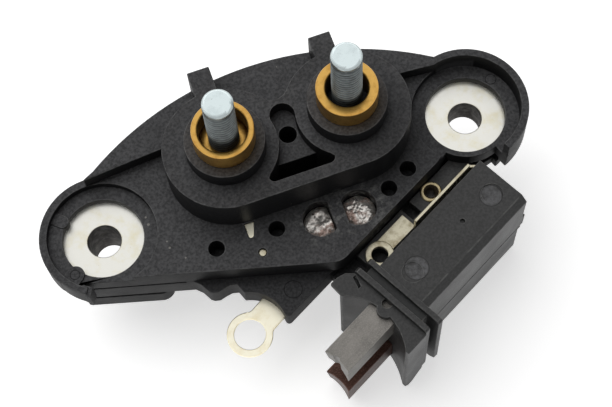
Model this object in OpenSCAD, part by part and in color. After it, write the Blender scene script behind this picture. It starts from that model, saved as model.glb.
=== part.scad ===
// Alternator voltage regulator with brush holder.
// Origin: axis of the left mounting hole, at the top face of its mounting ring.
// +X runs to the right mounting hole, +Z up along the terminal studs.

/* [Mounting ears] */
// Distance between the two mounting holes
hole_spacing = 64; // [60:0.5:80]
// Diameter of the hole through each mounting bush
mount_bore_d = 5.6; // [4.6:0.1:6.6]
// Outside diameter of a bush's sleeve
bush_sleeve_d = 8; // [7.2:0.1:9.6]
// Outside diameter of a bush's flange
bush_flange_d = 15; // [14.2:0.1:16]
// Thickness of a bush's flange
bush_flange_t = 1; // [0.8:0.1:1.3]
// Radius of the window that shows the flange
ring_window_r = 6.75; // [6:0.05:7]
// Radius of the round recess in each ear
ear_recess_r = 9.1; // [8.6:0.1:9.4]
// Width of the rim round the recess
ear_rim_w = 1.3; // [1:0.1:2]
// Radius of the thin front part of the right ear
ear_front_r = 7.7; // [7.6:0.1:8.2]
// Radius of the lower mouldings round a mounting hole
ear_under_r = 8.4; // [7.8:0.1:8.8]
// Direction of the notch between an ear and the arched back
notch_angle = 79.4; // [74:0.1:84]
// Where the right ear's rim ends, seen from its hole
rim_end_angle = 70; // [60:1:80]

/* [Heights] */
// Floor of the ear recess above the bush flange
recess_floor_z = 1.5; // [1.2:0.1:2]
// Top of the flat plate
plate_top_z = 2.9; // [2.5:0.1:3.5]
// Top of the raised back band and of the right ear's rim
band_top_z = 5.5; // [4.5:0.1:7]
// Top of the stud platform
platform_top_z = 10.6; // [9:0.1:12.7]
// Height of each round boss on the platform
boss_h = 3.4; // [2.8:0.1:4.1]
// Height of each brass collar above its boss
collar_h = 4.2; // [3:0.1:5]
// Underside of the stud plate, below the bush flange's top
plate_under_z = -1.4; // [-1.6:0.1:-1.3]
// Thickness of the regulator body
body_t = 4.7; // [4.2:0.1:5.6]
// Thickness of the lower cover
cover_t = 4.2; // [3.8:0.1:5]

/* [Outline] */
// Distance of the straight front edge from the left hole
front_dist = 7.67; // [7.5:0.05:8.2]
// Slope of the front edge, falling to the right
front_angle = 15.64; // [14:0.1:17]
// Rise of the arched back above its notches
back_rise = 9.2; // [8:0.1:11]
// Radius of the plate's front corner
corner_r = 3.5; // [2:0.1:4.5]
// Distance of the plate's side edge from the left hole
side_dist = 32.2; // [31.5:0.1:33]
// Place of the side edge's far end along the brush direction
side_end_u = 46.7; // [45:0.1:48]

/* [Stud platform] */
// Middle of the platform, from the left hole
platform_x = 34.05; // [33:0.05:36]
// Distance of the studs behind the line of the mounting holes
stud_y = 4.45; // [4:0.05:5.3]
// Distance between the two studs
stud_spacing = 20.9; // [18:0.1:22.5]
// Radius of the platform round each stud
lobe_r = 10.5; // [9.9:0.1:10.9]
// Radius of the fillet in the back valley
valley_r = 2.68; // [2.2:0.05:4]
// Radius of each boss
boss_r = 6.6; // [6.2:0.1:7]
// Diameter of the terminal studs' thread
stud_d = 5; // [4:0.1:6]
// How much thinner each stud's shank is below the thread
shank_relief = 0.6; // [0.4:0.05:0.8]
// Top of the left stud
left_stud_top_z = 28.3; // [24:0.1:34]
// Top of the right stud
right_stud_top_z = 29.8; // [24:0.1:36]
// Outside diameter of the brass collars
collar_d = 10.1; // [9.8:0.1:11]
// Bore of the left collar
left_collar_bore_d = 8; // [7.4:0.1:8.4]
// Bore of the right collar
right_collar_bore_d = 6.9; // [6.7:0.1:8]
// Width of each rib between a lobe and the arched back
rib_w = 3.8; // [3:0.1:5]
// How far each rib stands out past the arched back
rib_out = 0.5; // [0.2:0.1:1]
// Depth of the pocket in the middle of the platform
pocket_depth = 2.8; // [2:0.1:3.5]
// Radius of the pocket's sides about the studs
pocket_side_r = 8.65; // [8.4:0.05:8.8]
// Front edge of the pocket
pocket_front_y = -3.85; // [-4.2:0.05:-3.5]

/* [Ring terminal] */
// Place of the ring along the row of mounting holes
ring_x = 17.6; // [17:0.1:18.4]
// Distance of the ring in front of the row of mounting holes
ring_y = -22.2; // [-23:0.1:-21.6]
// Hole in the ring
ring_bore_d = 5.2; // [4.2:0.1:5.6]
// Outside diameter of the ring
ring_d = 7.7; // [7.2:0.1:8.6]
// Width of the neck
neck_w = 5; // [4:0.1:5.6]
// Thickness of the sheet
ring_t = 0.8; // [0.5:0.1:1]
// Top of the sheet below the stud plate
ring_drop = 2.7; // [2.4:0.1:3]

/* [Brush holder] */
// Direction that the brushes slide in, turned from the row of mounting holes
holder_angle = 27.6; // [26:0.1:29]
// Length of the guide box behind the flanges
box_len = 25; // [22:0.5:32]
// Width of the guide box
box_w = 10.3; // [9.6:0.1:11.4]
// Width of the ledge between the plate's side edge and the guide box
ledge_w = 5; // [4.8:0.05:5.6]
// Wall under the lower brush
box_floor_t = 1.2; // [1:0.1:3]
// Width of each brush
brush_w = 5.1; // [4.4:0.1:5.8]
// Height of each brush
brush_h = 5.8; // [5:0.1:6]
// Length of each brush
brush_len = 20; // [18:0.5:21]
// Height of the upper brush's top face
upper_brush_top_z = 1; // [0.6:0.1:1.2]
// Distance between the two brushes, which is that of their slip rings
brush_pitch = 12.4; // [11.6:0.1:13]
// Gap between a brush and its guide on each side
brush_gap = 0.08; // [0.04:0.01:0.15]
// Wire of the brush springs
spring_wire_d = 0.5; // [0.4:0.05:0.6]
// Outside diameter of the brush springs
spring_d = 4.4; // [3.6:0.1:4.4]
// Radius of the shroud's hollow face
shroud_r = 10.35; // [10:0.05:10.8]
// Thickness of each sealing flange
flange_t = 1; // [0.8:0.05:1.3]
// Thickness of the folded lead strip
strip_t = 0.5; // [0.4:0.05:0.6]

/* [Hidden] */
$fn = 64;

eps = 0.01;
cut_over = 1;

// Heights of the three stacked mouldings
body_under_z = plate_under_z - body_t;
cover_under_z = body_under_z - cover_t;
boss_top_z = platform_top_z + boss_h;
collar_top_z = boss_top_z + collar_h;
joint_groove_h = 0.5;
joint_groove_in = 0.45;

// Plan of the stud plate
right_hole = [hole_spacing, 0];
ear_r = ear_recess_r + ear_rim_w;
left_notch = ear_r * [cos(notch_angle), sin(notch_angle)];
half_chord = hole_spacing / 2 - left_notch.x;
back_r = (pow(half_chord, 2) + pow(back_rise, 2)) / (2 * back_rise);
back_centre = [hole_spacing / 2, left_notch.y + back_rise - back_r];
back_half_angle = asin(half_chord / back_r);
front_half_angle = acos(front_dist / ear_r);
front_normal_angle = -90 - front_angle;
rim_skirt = 1.1;
rim_overlap = 0.6;
rim_tip_angle = 0.6 - rim_end_angle;
rim_step = 0.12;
left_rim_end_angle = -121;
lug_rise = 0.3;

// Studs and collars
left_stud_xy = [platform_x - stud_spacing / 2, stud_y];
right_stud_xy = [platform_x + stud_spacing / 2, stud_y];
stud_head_af = 8;
stud_head_h = 2.6;
stud_chamfer = 0.6;
shank_d = stud_d - shank_relief;
thread_start_z = collar_top_z + 0.3;
spigot_wall = 0.6;
spigot_d = left_collar_bore_d + 2 * spigot_wall;
spigot_h = 1.8;
seat_t = 1.2;
seat_floor_z = boss_top_z - 1;
valley_reach = lobe_r + valley_r;
valley_y = stud_y + sqrt(pow(valley_reach, 2) - pow(stud_spacing / 2, 2));
valley_angle = atan2(valley_y - stud_y, stud_spacing / 2);

// Pocket in the platform: a round top between two arcs about the studs
pocket_back_wall = 1;
pocket_top_reach = valley_y - valley_r - pocket_back_wall - stud_y;
pocket_top_r = (pow(stud_spacing / 2, 2) + pow(pocket_top_reach, 2) - pow(pocket_side_r, 2))
    / (2 * (pocket_side_r + pocket_top_reach));
pocket_top_y = stud_y + pocket_top_reach - pocket_top_r;
pocket_top_angle = atan2(pocket_top_y - stud_y, stud_spacing / 2);
pocket_corner_r = 0.9;
pocket_side_angle = -asin((stud_y - pocket_front_y - 1.48) / pocket_side_r);
pocket_slot_y = pocket_front_y + 3.45;
pocket_hole_r = 1.46;
pocket_hole_y = pocket_top_y - 2.45;

// Small holes in the plate, and the windows over the solder joints
small_hole_r = 1.35;
small_holes = [[16.95, -8.69], [27.3, -8.83], [47.03, -8.51], [51.18, -6.32]];
left_solder_xy = [34.7, -9.7];
right_solder_xy = [41.15, -9.9];
solder_window_r = 3.05;
solder_gap = 0.15;
left_window_flat = 1.9;
right_window_flat = 2.3;
solder_top_z = plate_top_z - 1.8;
flat_pin_xy = [23.35, -7.54];
flat_pin_size = [1.8, 2.6];
round_pin_xy = [23.81, -11.89];
round_pin_r = 0.7;
pin_top_z = plate_top_z - 0.15;
pin_under_z = plate_under_z - 1;

// Electronics chamber under the platform
chamber_x = [9.5, 29];
chamber_y = [-4, 10];
heat_sink_t = 1.5;
cover_floor_t = 1.5;
board_t = 0.8;
chip_t = 1.2;
chip_size = [7, 6];
lead_t = 0.8;
lead_w = 2;
lead_pad_r = 2.5;
lead_start = left_stud_xy + [2.4, -2.45];
heat_sink_z = cover_under_z + cover_floor_t;
board_z = heat_sink_z + heat_sink_t;
chip_z = board_z + board_t;
potting_top_z = plate_under_z - lead_t;

// Wing of the body round the ring terminal
ring_xy = [ring_x, ring_y];
ring_top_z = plate_under_z - ring_drop;
ring_neck_angle = 30;
ring_neck_len = 16;
wing_cut_r = 6.4;
wing_side_dist = side_dist - 1;
wing_tip_u = 12.6;

// Brush holder, in the frame turned by holder_angle: u along the brushes, v across them
flange_front_u = 25.6;
flange_gap = 1.4;
box_u = flange_front_u + flange_t;
box_end_u = box_u + box_len;
// A box that reaches the right ear stands clear of it, with room for the lead strip
right_hole_u = hole_spacing * cos(holder_angle);
right_hole_dist = hole_spacing * sin(holder_angle);
ear_gap_u = max(0, right_hole_u - box_end_u);
ear_reach = sqrt(max(0, pow(ear_front_r, 2) - pow(ear_gap_u, 2)));
blade_room = 1.2;
box_side_dist = ear_gap_u < ear_front_r
    ? max(side_dist + ledge_w, right_hole_dist + ear_reach + blade_room)
    : side_dist + ledge_w;
box_top_z = plate_top_z;
lower_brush_top_z = upper_brush_top_z - brush_pitch;
box_bottom_z = lower_brush_top_z - brush_h - box_floor_t;
box_v = [-box_side_dist - box_w, -box_side_dist];
box_bevel = 1.2;
flange_top_z = box_top_z + 0.5;
flange_bottom_z = box_bottom_z + 0.4;
flange_v = box_v + [-3.4, 1.9];
front_flange_u = flange_front_u - flange_gap - flange_t;
front_flange_v = box_v + [-2.8, 2.35];
guide_mid_v = (box_v[0] + box_v[1]) / 2 - 0.15;
guide_end_wall = 2.1;
guide_end_u = box_end_u - guide_end_wall;
tab_slot_u = box_end_u - 1.25;
brush_tip_u = 10.4;
brush_rear_u = brush_tip_u + brush_len;
pigtail_r = 0.5;
pigtail_hole_r = 0.6;
brush_end_r = 8;
lug_side = 0.8;
parting_z = box_bottom_z + 8.7;
ejector_r = 1.7;
ejector_depth = 0.15;

// Shroud in front of the flanges, hollowed for the slip rings
shroud_axis = [11.2, guide_mid_v - 0.3];
shroud_tip_u = 18.9;
shroud_top_z = box_top_z - 0.7;
shroud_bottom_z = box_bottom_z - 1.4;
shroud_v = box_v + [-2.9, 1.75];
roof_t = 1.2;
roof_end_v = box_v[1] + 4;
roof_slot_u = [front_flange_u - 1.5, front_flange_u - 0.7];
roof_slot_w = 0.5;
roof_slot_v = [box_v[1] + 0.1, box_v[1] + 2];
pin_boss_xy = [22.05, guide_mid_v - 0.15];
pin_boss_r = 1.5;
pin_hole_xy = [22.85, guide_mid_v + 0.3];
pin_hole_r = 0.8;

// Ledge of the holder over the tongue of the body, joined by the hollow rivet
ledge_t = 2.4;
ledge_gap = 0.1;
ledge_end_u = min(box_end_u - 0.1, right_hole_u - bush_sleeve_d / 2 - 1);
ledge_under_z = plate_under_z - ledge_t;
tongue_u = [box_u + 1.4, ledge_end_u - 0.5];
tongue_v = box_v[1] + 0.7;
apron_u = front_flange_u - 1.5;
apron_v = front_flange_v[1] + 0.15;
rivet_xy = [43.2, box_v[1] + 3.25];
rivet_head_r = 1.5;
rivet_r = 1.1;
rivet_bore_r = 0.8;
rivet_head_t = 0.35;
square_gap_u = [37.5, 39.5];
square_gap_v = box_v[1] + 2.2;

// Folded lead strip
eyelet_xy = [29, box_v[1] + 2];
eyelet_r = 2.2;
eyelet_hole_r = 1.4;
strip_flat_t = 0.6;
strip_flat_v = [box_v[1] + 1.1, box_v[1] + 3.6];
strip_flat_end_u = 36.8;
blade_start_u = 36.3;
blade_v = box_v[1] + 0.85;
blade_bend_u = tab_slot_u - 0.55;
tab_end_v = guide_mid_v - 1.1;
lower_tab_z = [lower_brush_top_z - brush_h / 2 - 1.7, lower_brush_top_z - brush_h / 2 + 2.3];
tab_top_z = box_top_z - 1;
tab_under_z = min(plate_under_z, upper_brush_top_z - brush_h / 2 + pigtail_r);
lead_rise_u = [36, 38];

function arc(c, r, a0, a1, n = 24) =
    [for (i = [0:n]) c + r * [cos(a0 + (a1 - a0) * i / n), sin(a0 + (a1 - a0) * i / n)]];

// A point given in the brush frame, in plan coordinates
function from_holder(u, v) = [
    u * cos(holder_angle) - v * sin(holder_angle),
    u * sin(holder_angle) + v * cos(holder_angle)
];

// A point on the front edge at x, moved outwards by out
function front_pt(x, out = 0) =
    [x, -(front_dist + x * sin(front_angle)) / cos(front_angle)]
    + out * [cos(front_normal_angle), sin(front_normal_angle)];

// The corner where the front and side edges meet, both moved inwards by inset
function corner_pt(inset) = let (
    front = front_dist - inset,
    side = side_dist - inset,
    x = (side / cos(holder_angle) - front / cos(front_angle)) / (tan(holder_angle) + tan(front_angle))
) [x, -(front + x * sin(front_angle)) / cos(front_angle)];

function corner_arc() =
    arc(corner_pt(corner_r), corner_r, front_normal_angle, holder_angle - 90, 6);

function right_ear_front() = concat(
    arc(right_hole, ear_front_r, -136, -rim_end_angle, 12),
    arc(right_hole, ear_r, -rim_end_angle, 180 - notch_angle, 36)
);

function back_arc(inset = 0) =
    arc(back_centre, back_r - inset, 90 - back_half_angle, 90 + back_half_angle, 30);

// Outlines
module plate_outline() {
    polygon(concat(
        corner_arc(),
        [from_holder(side_end_u, -side_dist)],
        right_ear_front(),
        back_arc(),
        arc([0, 0], ear_r, notch_angle, 360 + front_normal_angle - front_half_angle, 30)
    ));
}

module back_band_outline() {
    polygon(concat(
        [[0, ear_recess_r], [14, ear_recess_r + 1], [hole_spacing - 7, ear_recess_r + 0.1]],
        arc(right_hole, ear_recess_r - rim_overlap, 90, rim_tip_angle, 36),
        arc(right_hole, ear_r, rim_tip_angle, 180 - notch_angle, 36),
        back_arc(),
        [left_notch + [-1.9, -0.9]]
    ));
}

module rim_sector(hole, a0, a1) {
    polygon(concat(
        arc(hole, ear_recess_r - rim_overlap, a0, a1, 24),
        arc(hole, ear_r - rim_step, a1, a0, 24)
    ));
}

module platform_outline() {
    polygon(concat(
        arc(right_stud_xy, lobe_r, -90, 180 - valley_angle, 40),
        arc([platform_x, valley_y], valley_r, -valley_angle, valley_angle - 180, 12),
        arc(left_stud_xy, lobe_r, valley_angle, 270, 40)
    ));
}

module pocket_outline() {
    left_end = left_stud_xy + pocket_side_r * [cos(pocket_side_angle), sin(pocket_side_angle)];
    right_end = [2 * platform_x - left_end.x, left_end.y];
    corner = [left_end.x + pocket_corner_r / 2, pocket_front_y + pocket_corner_r];
    polygon(concat(
        arc(corner, pocket_corner_r, 180, 270, 6),
        arc([2 * platform_x - corner.x, corner.y], pocket_corner_r, -90, 0, 6),
        [right_end],
        arc(right_stud_xy, pocket_side_r, 180 - pocket_side_angle, 180 - pocket_top_angle, 12),
        arc([platform_x, pocket_top_y], pocket_top_r, -pocket_top_angle, 180 + pocket_top_angle, 16),
        arc(left_stud_xy, pocket_side_r, pocket_top_angle, pocket_side_angle, 12)
    ));
}

module body_outline() {
    under_angle = acos(front_dist / ear_under_r);
    wing_start = front_pt(18.6, 1.1);
    polygon(concat(
        [front_pt(11.7), front_pt(12.9, 0.7), front_pt(14.1, 2), front_pt(14.7, 2.25)],
        [front_pt(15.6, 2.2), front_pt(16.6, 1.6), front_pt(17.5, 1.15), wing_start],
        arc(ring_xy, wing_cut_r, 78, 5, 16),
        arc(from_holder(wing_tip_u - 0.8, -wing_side_dist + 0.65), 0.65, 200, 297.6, 6),
        [from_holder(side_end_u, -wing_side_dist)],
        arc(right_hole, ear_front_r - 0.3, -136, -rim_end_angle, 12),
        arc(right_hole, ear_under_r, -rim_end_angle, 100, 30),
        back_arc(1),
        arc([0, 0], ear_under_r, 80, 360 + front_normal_angle - under_angle, 30)
    ));
}

module cover_outline() {
    under_angle = acos(front_dist / ear_under_r);
    front_end = front_pt(6.5);
    polygon(concat(
        arc(front_end + [0, 2.2], 2.2, -100, -20, 8),
        [[chamber_x[0] + 1, chamber_y[0] - 2.5], [chamber_x[1] + 2, chamber_y[0] - 2.5]],
        arc(back_centre, back_r - 2, 91.5, 90 + back_half_angle, 20),
        arc([0, 0], ear_under_r, 84, 360 + front_normal_angle - under_angle, 30)
    ));
}

module chamber_outline() {
    translate([chamber_x[0], chamber_y[0]])
        square([chamber_x[1] - chamber_x[0], chamber_y[1] - chamber_y[0]]);
}

module solder_window(x_flat, side, gap = 0) {
    intersection() {
        circle(r = solder_window_r - gap);
        translate([side > 0 ? -10 : -x_flat + gap, -10])
            square([10 + x_flat - gap, 20]);
    }
}

module lead_path(points, w) {
    for (i = [0:len(points) - 2]) {
        run = points[i + 1] - points[i];
        translate(points[i])
            rotate(atan2(run.y, run.x))
                translate([0, -w / 2])
                    square([norm(run), w]);
    }
}

module left_lead_outline(grow = 0) {
    lead_path([lead_start + [0, -4], [left_solder_xy.x - 0.5, left_solder_xy.y]], lead_w + 2 * grow);
    translate(left_solder_xy)
        circle(r = lead_pad_r + grow);
}

module right_lead_outline(grow = 0) {
    lead_path([lead_start, [right_solder_xy.x + 0.3, -1], right_solder_xy], lead_w + 2 * grow);
    translate(right_solder_xy)
        circle(r = lead_pad_r + grow);
}

module slab(z0, z1) {
    translate([0, 0, z0])
        linear_extrude(z1 - z0)
            children();
}

module post(xy, r, z0, z1) {
    translate([xy.x, xy.y, z0])
        cylinder(r = r, h = z1 - z0);
}

module in_holder() {
    rotate(holder_angle)
        children();
}

// A block between two corners of the brush frame
module block(u, v, z) {
    translate([u[0], v[0], z[0]])
        cube([u[1] - u[0], v[1] - v[0], z[1] - z[0]]);
}

// The room that the guide box takes beside the right ear
module holder_room() {
    block([box_u, box_end_u + lug_side + 0.2], [box_v[0] - 1, box_v[1] + ledge_gap],
          [box_bottom_z - 1, band_top_z + 1]);
}

// Upper moulding

module ear_cut(hole) {
    post(hole, bush_sleeve_d / 2, plate_under_z - cut_over, 0);
    post(hole, bush_flange_d / 2, -bush_flange_t, 0);
    post(hole, ring_window_r, -eps, band_top_z + cut_over);
    post(hole, ear_recess_r, recess_floor_z, band_top_z + cut_over);
}

// A lug of width w with a round inner end, centred at reach from the hole
module ear_lug(angle, reach, w) {
    rotate(angle)
        slab(0, recess_floor_z + lug_rise) {
            translate([reach, 0]) circle(d = w);
            translate([reach, -w / 2]) square([ear_recess_r + 0.2 - reach, w]);
        }
}

module rib(x) {
    back_y = back_centre.y + sqrt(pow(back_r, 2) - pow(x - back_centre.x, 2));
    translate([x - rib_w / 2, stud_y + lobe_r - 1.5, plate_top_z])
        cube([rib_w, back_y + rib_out - stud_y - lobe_r + 1.5, platform_top_z - plate_top_z]);
}

module boss_cut(xy, core_z) {
    post(xy, spigot_d / 2, core_z, boss_top_z + cut_over);
}

module stud_cut(xy) {
    post(xy, shank_d / 2, plate_under_z - cut_over, boss_top_z + cut_over);
    translate([xy.x, xy.y, plate_under_z - cut_over])
        cylinder(d = stud_head_af / cos(30), h = stud_head_h + cut_over, $fn = 6);
}

module stud_plate() {
    color("#2b2b2d")
    difference() {
        union() {
            difference() {
                union() {
                    slab(plate_under_z, plate_top_z) plate_outline();
                    slab(plate_top_z - 1, band_top_z) back_band_outline();
                    slab(plate_under_z - rim_skirt, plate_under_z + 0.5)
                        rim_sector(right_hole, rim_tip_angle, 55);
                    slab(plate_under_z - 0.3, plate_top_z - 0.02)
                        rim_sector([0, 0], left_rim_end_angle - 32, left_rim_end_angle);
                }
                ear_cut([0, 0]);
                ear_cut(right_hole);
            }
            ear_lug(-143, ring_window_r + 0.9, 3);
            ear_lug(138, ring_window_r + 0.7, 2.2);
            rotate(left_rim_end_angle)
                translate([ear_recess_r - 0.3, -0.1, plate_under_z - 0.3])
                    cube([ear_r - ear_recess_r + 0.6, 0.8, plate_top_z - plate_under_z]);
            slab(plate_top_z - 1, platform_top_z) platform_outline();
            post(left_stud_xy, boss_r, platform_top_z - 1, boss_top_z);
            post(right_stud_xy, boss_r, platform_top_z - 1, boss_top_z);
            rib(left_stud_xy.x);
            rib(right_stud_xy.x);
        }
        stud_cut(left_stud_xy);
        stud_cut(right_stud_xy);
        boss_cut(right_stud_xy, boss_top_z - spigot_h);
        difference() {
            boss_cut(left_stud_xy, boss_top_z - spigot_h);
            post(left_stud_xy, left_collar_bore_d / 2, boss_top_z - spigot_h - 1, seat_floor_z);
        }
        slab(platform_top_z - pocket_depth, platform_top_z + cut_over) pocket_outline();
        slab(plate_top_z - 1, platform_top_z)
            intersection() {
                pocket_outline();
                translate([platform_x - 10, pocket_slot_y - 10])
                    square([20, 10]);
            }
        post([platform_x, pocket_hole_y], pocket_hole_r, plate_top_z - 1, platform_top_z);
        for (hole = small_holes)
            post(hole, small_hole_r, plate_under_z - cut_over, plate_top_z + cut_over);
        slab(plate_under_z - cut_over, plate_top_z + cut_over) {
            translate(left_solder_xy) solder_window(left_window_flat, 1);
            translate(right_solder_xy) solder_window(right_window_flat, -1);
            translate(flat_pin_xy - flat_pin_size / 2) square(flat_pin_size);
        }
        post(round_pin_xy, round_pin_r, plate_under_z - cut_over, plate_top_z + cut_over);
        in_holder() holder_room();
    }
}

// Middle and lower mouldings

module regulator_body() {
    color("#262628")
    difference() {
        union() {
            slab(body_under_z, plate_under_z - joint_groove_h) body_outline();
            slab(plate_under_z - joint_groove_h - eps, plate_under_z)
                difference() {
                    body_outline();
                    // The groove under the plate's front edge
                    polygon([
                        front_pt(-12, -joint_groove_in), front_pt(-12, 1),
                        front_pt(10.5, 1), front_pt(10.5, -joint_groove_in)
                    ]);
                }
            in_holder() {
                block(tongue_u, [tongue_v, -wing_side_dist + 2], [body_under_z, ledge_under_z]);
                block([apron_u, tongue_u[0] + 1], [apron_v, 2 - wing_side_dist],
                    [body_under_z, ledge_under_z]);
            }
        }
        post([0, 0], bush_sleeve_d / 2, body_under_z - cut_over, plate_under_z + cut_over);
        post(right_hole, bush_sleeve_d / 2, body_under_z - cut_over, plate_under_z + cut_over);
        slab(body_under_z - cut_over, plate_under_z + cut_over) chamber_outline();
        slab(plate_under_z - lead_t, plate_under_z + cut_over) {
            left_lead_outline();
            right_lead_outline();
        }
        slab(pin_under_z, plate_under_z + cut_over)
            translate(flat_pin_xy - flat_pin_size / 2) square(flat_pin_size);
        post(round_pin_xy, round_pin_r, pin_under_z, plate_under_z + cut_over);
        slab(ring_top_z - ring_t, ring_top_z) ring_neck_outline();
        // The body stays clear of the ledge beside the plate's side edge
        in_holder() {
            block([box_u, ledge_end_u + 5.1], [-side_dist - 6, -side_dist], [ledge_under_z, 5]);
            holder_room();
            post(rivet_xy, rivet_r, body_under_z - cut_over, ledge_under_z + cut_over);
        }
    }
}

module regulator_cover() {
    color("#232325")
    difference() {
        union() {
            slab(cover_under_z, body_under_z - joint_groove_h) cover_outline();
            slab(body_under_z - joint_groove_h - eps, body_under_z)
                difference() {
                    cover_outline();
                    polygon([
                        front_pt(-12, -joint_groove_in), front_pt(-12, 1),
                        front_pt(8.8, 1), front_pt(8.8, -joint_groove_in)
                    ]);
                }
        }
        post([0, 0], bush_sleeve_d / 2, cover_under_z - cut_over, body_under_z + cut_over);
        slab(heat_sink_z, body_under_z + cut_over) chamber_outline();
    }
}

// Electronics

module heat_sink_plate() {
    color("#c3c6c9")
    slab(heat_sink_z, board_z) chamber_outline();
}

module circuit_board() {
    color("#e9e6dc")
    slab(board_z, chip_z) chamber_outline();
}

module chip_outline() {
    translate([chamber_x[0] + 6, chamber_y[0] + 4])
        square(chip_size);
}

module regulator_chip() {
    color("#3a3a3c")
    slab(chip_z, chip_z + chip_t) chip_outline();
}

module potting() {
    color("#6f7f86")
    difference() {
        slab(chip_z, potting_top_z) chamber_outline();
        slab(chip_z - cut_over, chip_z + chip_t) chip_outline();
    }
}

module left_lead_frame() {
    color("#d9d6c8")
    slab(plate_under_z - lead_t, plate_under_z) left_lead_outline();
}

module right_lead_frame() {
    color("#d9d6c8")
    slab(plate_under_z - lead_t, plate_under_z) right_lead_outline();
}

// A low mound of solder that fills its window up to solder_top_z
module solder_mound(x_flat, side) {
    intersection() {
        slab(plate_under_z, solder_top_z) solder_window(x_flat, side, solder_gap);
        translate([0, 0, plate_under_z - 3.2])
            sphere(r = solder_top_z - plate_under_z + 3.2);
    }
}

module left_solder_joint() {
    color("#b9b6ae")
    translate(left_solder_xy) solder_mound(left_window_flat, 1);
}

module right_solder_joint() {
    color("#b9b6ae")
    translate(right_solder_xy) solder_mound(right_window_flat, -1);
}

module flat_pin() {
    color("#d9d3bd")
    slab(pin_under_z, pin_top_z)
        translate(flat_pin_xy - flat_pin_size / 2) square(flat_pin_size);
}

module round_pin() {
    color("#d9d3bd")
    post(round_pin_xy, round_pin_r, pin_under_z, pin_top_z);
}

// Metal in the ears and on the platform

module mount_bush(xy, under_z) {
    color("#d8d5c4")
    difference() {
        union() {
            post(xy, bush_flange_d / 2, -bush_flange_t, 0);
            post(xy, bush_sleeve_d / 2, under_z, -bush_flange_t + eps);
        }
        post(xy, mount_bore_d / 2, under_z - cut_over, cut_over);
    }
}

module left_mount_bush() {
    mount_bush([0, 0], cover_under_z);
}

module right_mount_bush() {
    mount_bush(right_hole, body_under_z);
}

module stud(xy, top_z) {
    color("#b9c0c6")
    union() {
        translate([xy.x, xy.y, plate_under_z])
            cylinder(d = stud_head_af / cos(30), h = stud_head_h, $fn = 6);
        post(xy, shank_d / 2, plate_under_z + eps, thread_start_z + eps);
        post(xy, stud_d / 2, thread_start_z, top_z - stud_chamfer);
        translate([xy.x, xy.y, top_z - stud_chamfer])
            cylinder(r1 = stud_d / 2, r2 = stud_d / 2 - stud_chamfer, h = stud_chamfer);
    }
}

module left_stud() {
    stud(left_stud_xy, left_stud_top_z);
}

module right_stud() {
    stud(right_stud_xy, right_stud_top_z);
}

module collar(xy, bore_d) {
    color("#c79a3e")
    difference() {
        union() {
            post(xy, collar_d / 2, boss_top_z, collar_top_z);
            post(xy, spigot_d / 2, boss_top_z - spigot_h, boss_top_z + eps);
        }
        post(xy, bore_d / 2, boss_top_z - spigot_h - cut_over, collar_top_z + cut_over);
    }
}

module left_collar() {
    collar(left_stud_xy, left_collar_bore_d);
}

module right_collar() {
    collar(right_stud_xy, right_collar_bore_d);
}

module left_inner_seat() {
    color("#b98f3a")
    difference() {
        post(left_stud_xy, left_collar_bore_d / 2, seat_floor_z, seat_floor_z + seat_t);
        post(left_stud_xy, shank_d / 2, seat_floor_z - cut_over, seat_floor_z + seat_t + cut_over);
    }
}

module ring_neck_outline() {
    translate(ring_xy)
        rotate(ring_neck_angle)
            translate([ring_d / 2 - 1.4, -neck_w / 2])
                square([ring_neck_len - ring_d / 2 + 1.4, neck_w]);
}

module ring_terminal() {
    color("#ddd8c4")
    difference() {
        union() {
            post(ring_xy, ring_d / 2, ring_top_z - ring_t, ring_top_z);
            slab(ring_top_z - ring_t, ring_top_z) ring_neck_outline();
        }
        post(ring_xy, ring_bore_d / 2, ring_top_z - ring_t - cut_over, ring_top_z + cut_over);
    }
}

// Brush holder

module guide_box() {
    translate([box_u - eps, 0, 0])
        rotate([90, 0, 90])
            linear_extrude(box_len + eps)
                polygon([
                    [box_v[1], box_top_z], [box_v[0] + box_bevel, box_top_z],
                    [box_v[0], box_top_z - box_bevel], [box_v[0], box_bottom_z],
                    [box_v[1], box_bottom_z]
                ]);
}

module sealing_flange(u, v) {
    corner = 1;
    translate([u, 0, 0])
        rotate([90, 0, 90])
            linear_extrude(flange_t)
                polygon([
                    [v[0], flange_top_z - 0.4], [v[0], flange_bottom_z + corner],
                    [v[0] + corner, flange_bottom_z], [v[1] - corner, flange_bottom_z],
                    [v[1], flange_bottom_z + corner], [v[1], flange_top_z - 0.4],
                    [v[1] - 0.4, flange_top_z], [v[0] + 0.4, flange_top_z]
                ]);
}

// The roof reaches out past the shroud's side, towards the plate
module shroud_roof() {
    slab(shroud_top_z - roof_t, shroud_top_z)
        polygon([
            [shroud_tip_u, shroud_v[1] - 1], [shroud_tip_u + 0.3, roof_end_v],
            [shroud_tip_u + 1.9, roof_end_v - 0.1], [shroud_tip_u + 3.2, roof_end_v - 0.5],
            [front_flange_u + eps, front_flange_v[1] - 0.05], [front_flange_u + eps, shroud_v[1] - 1]
        ]);
}

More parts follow.
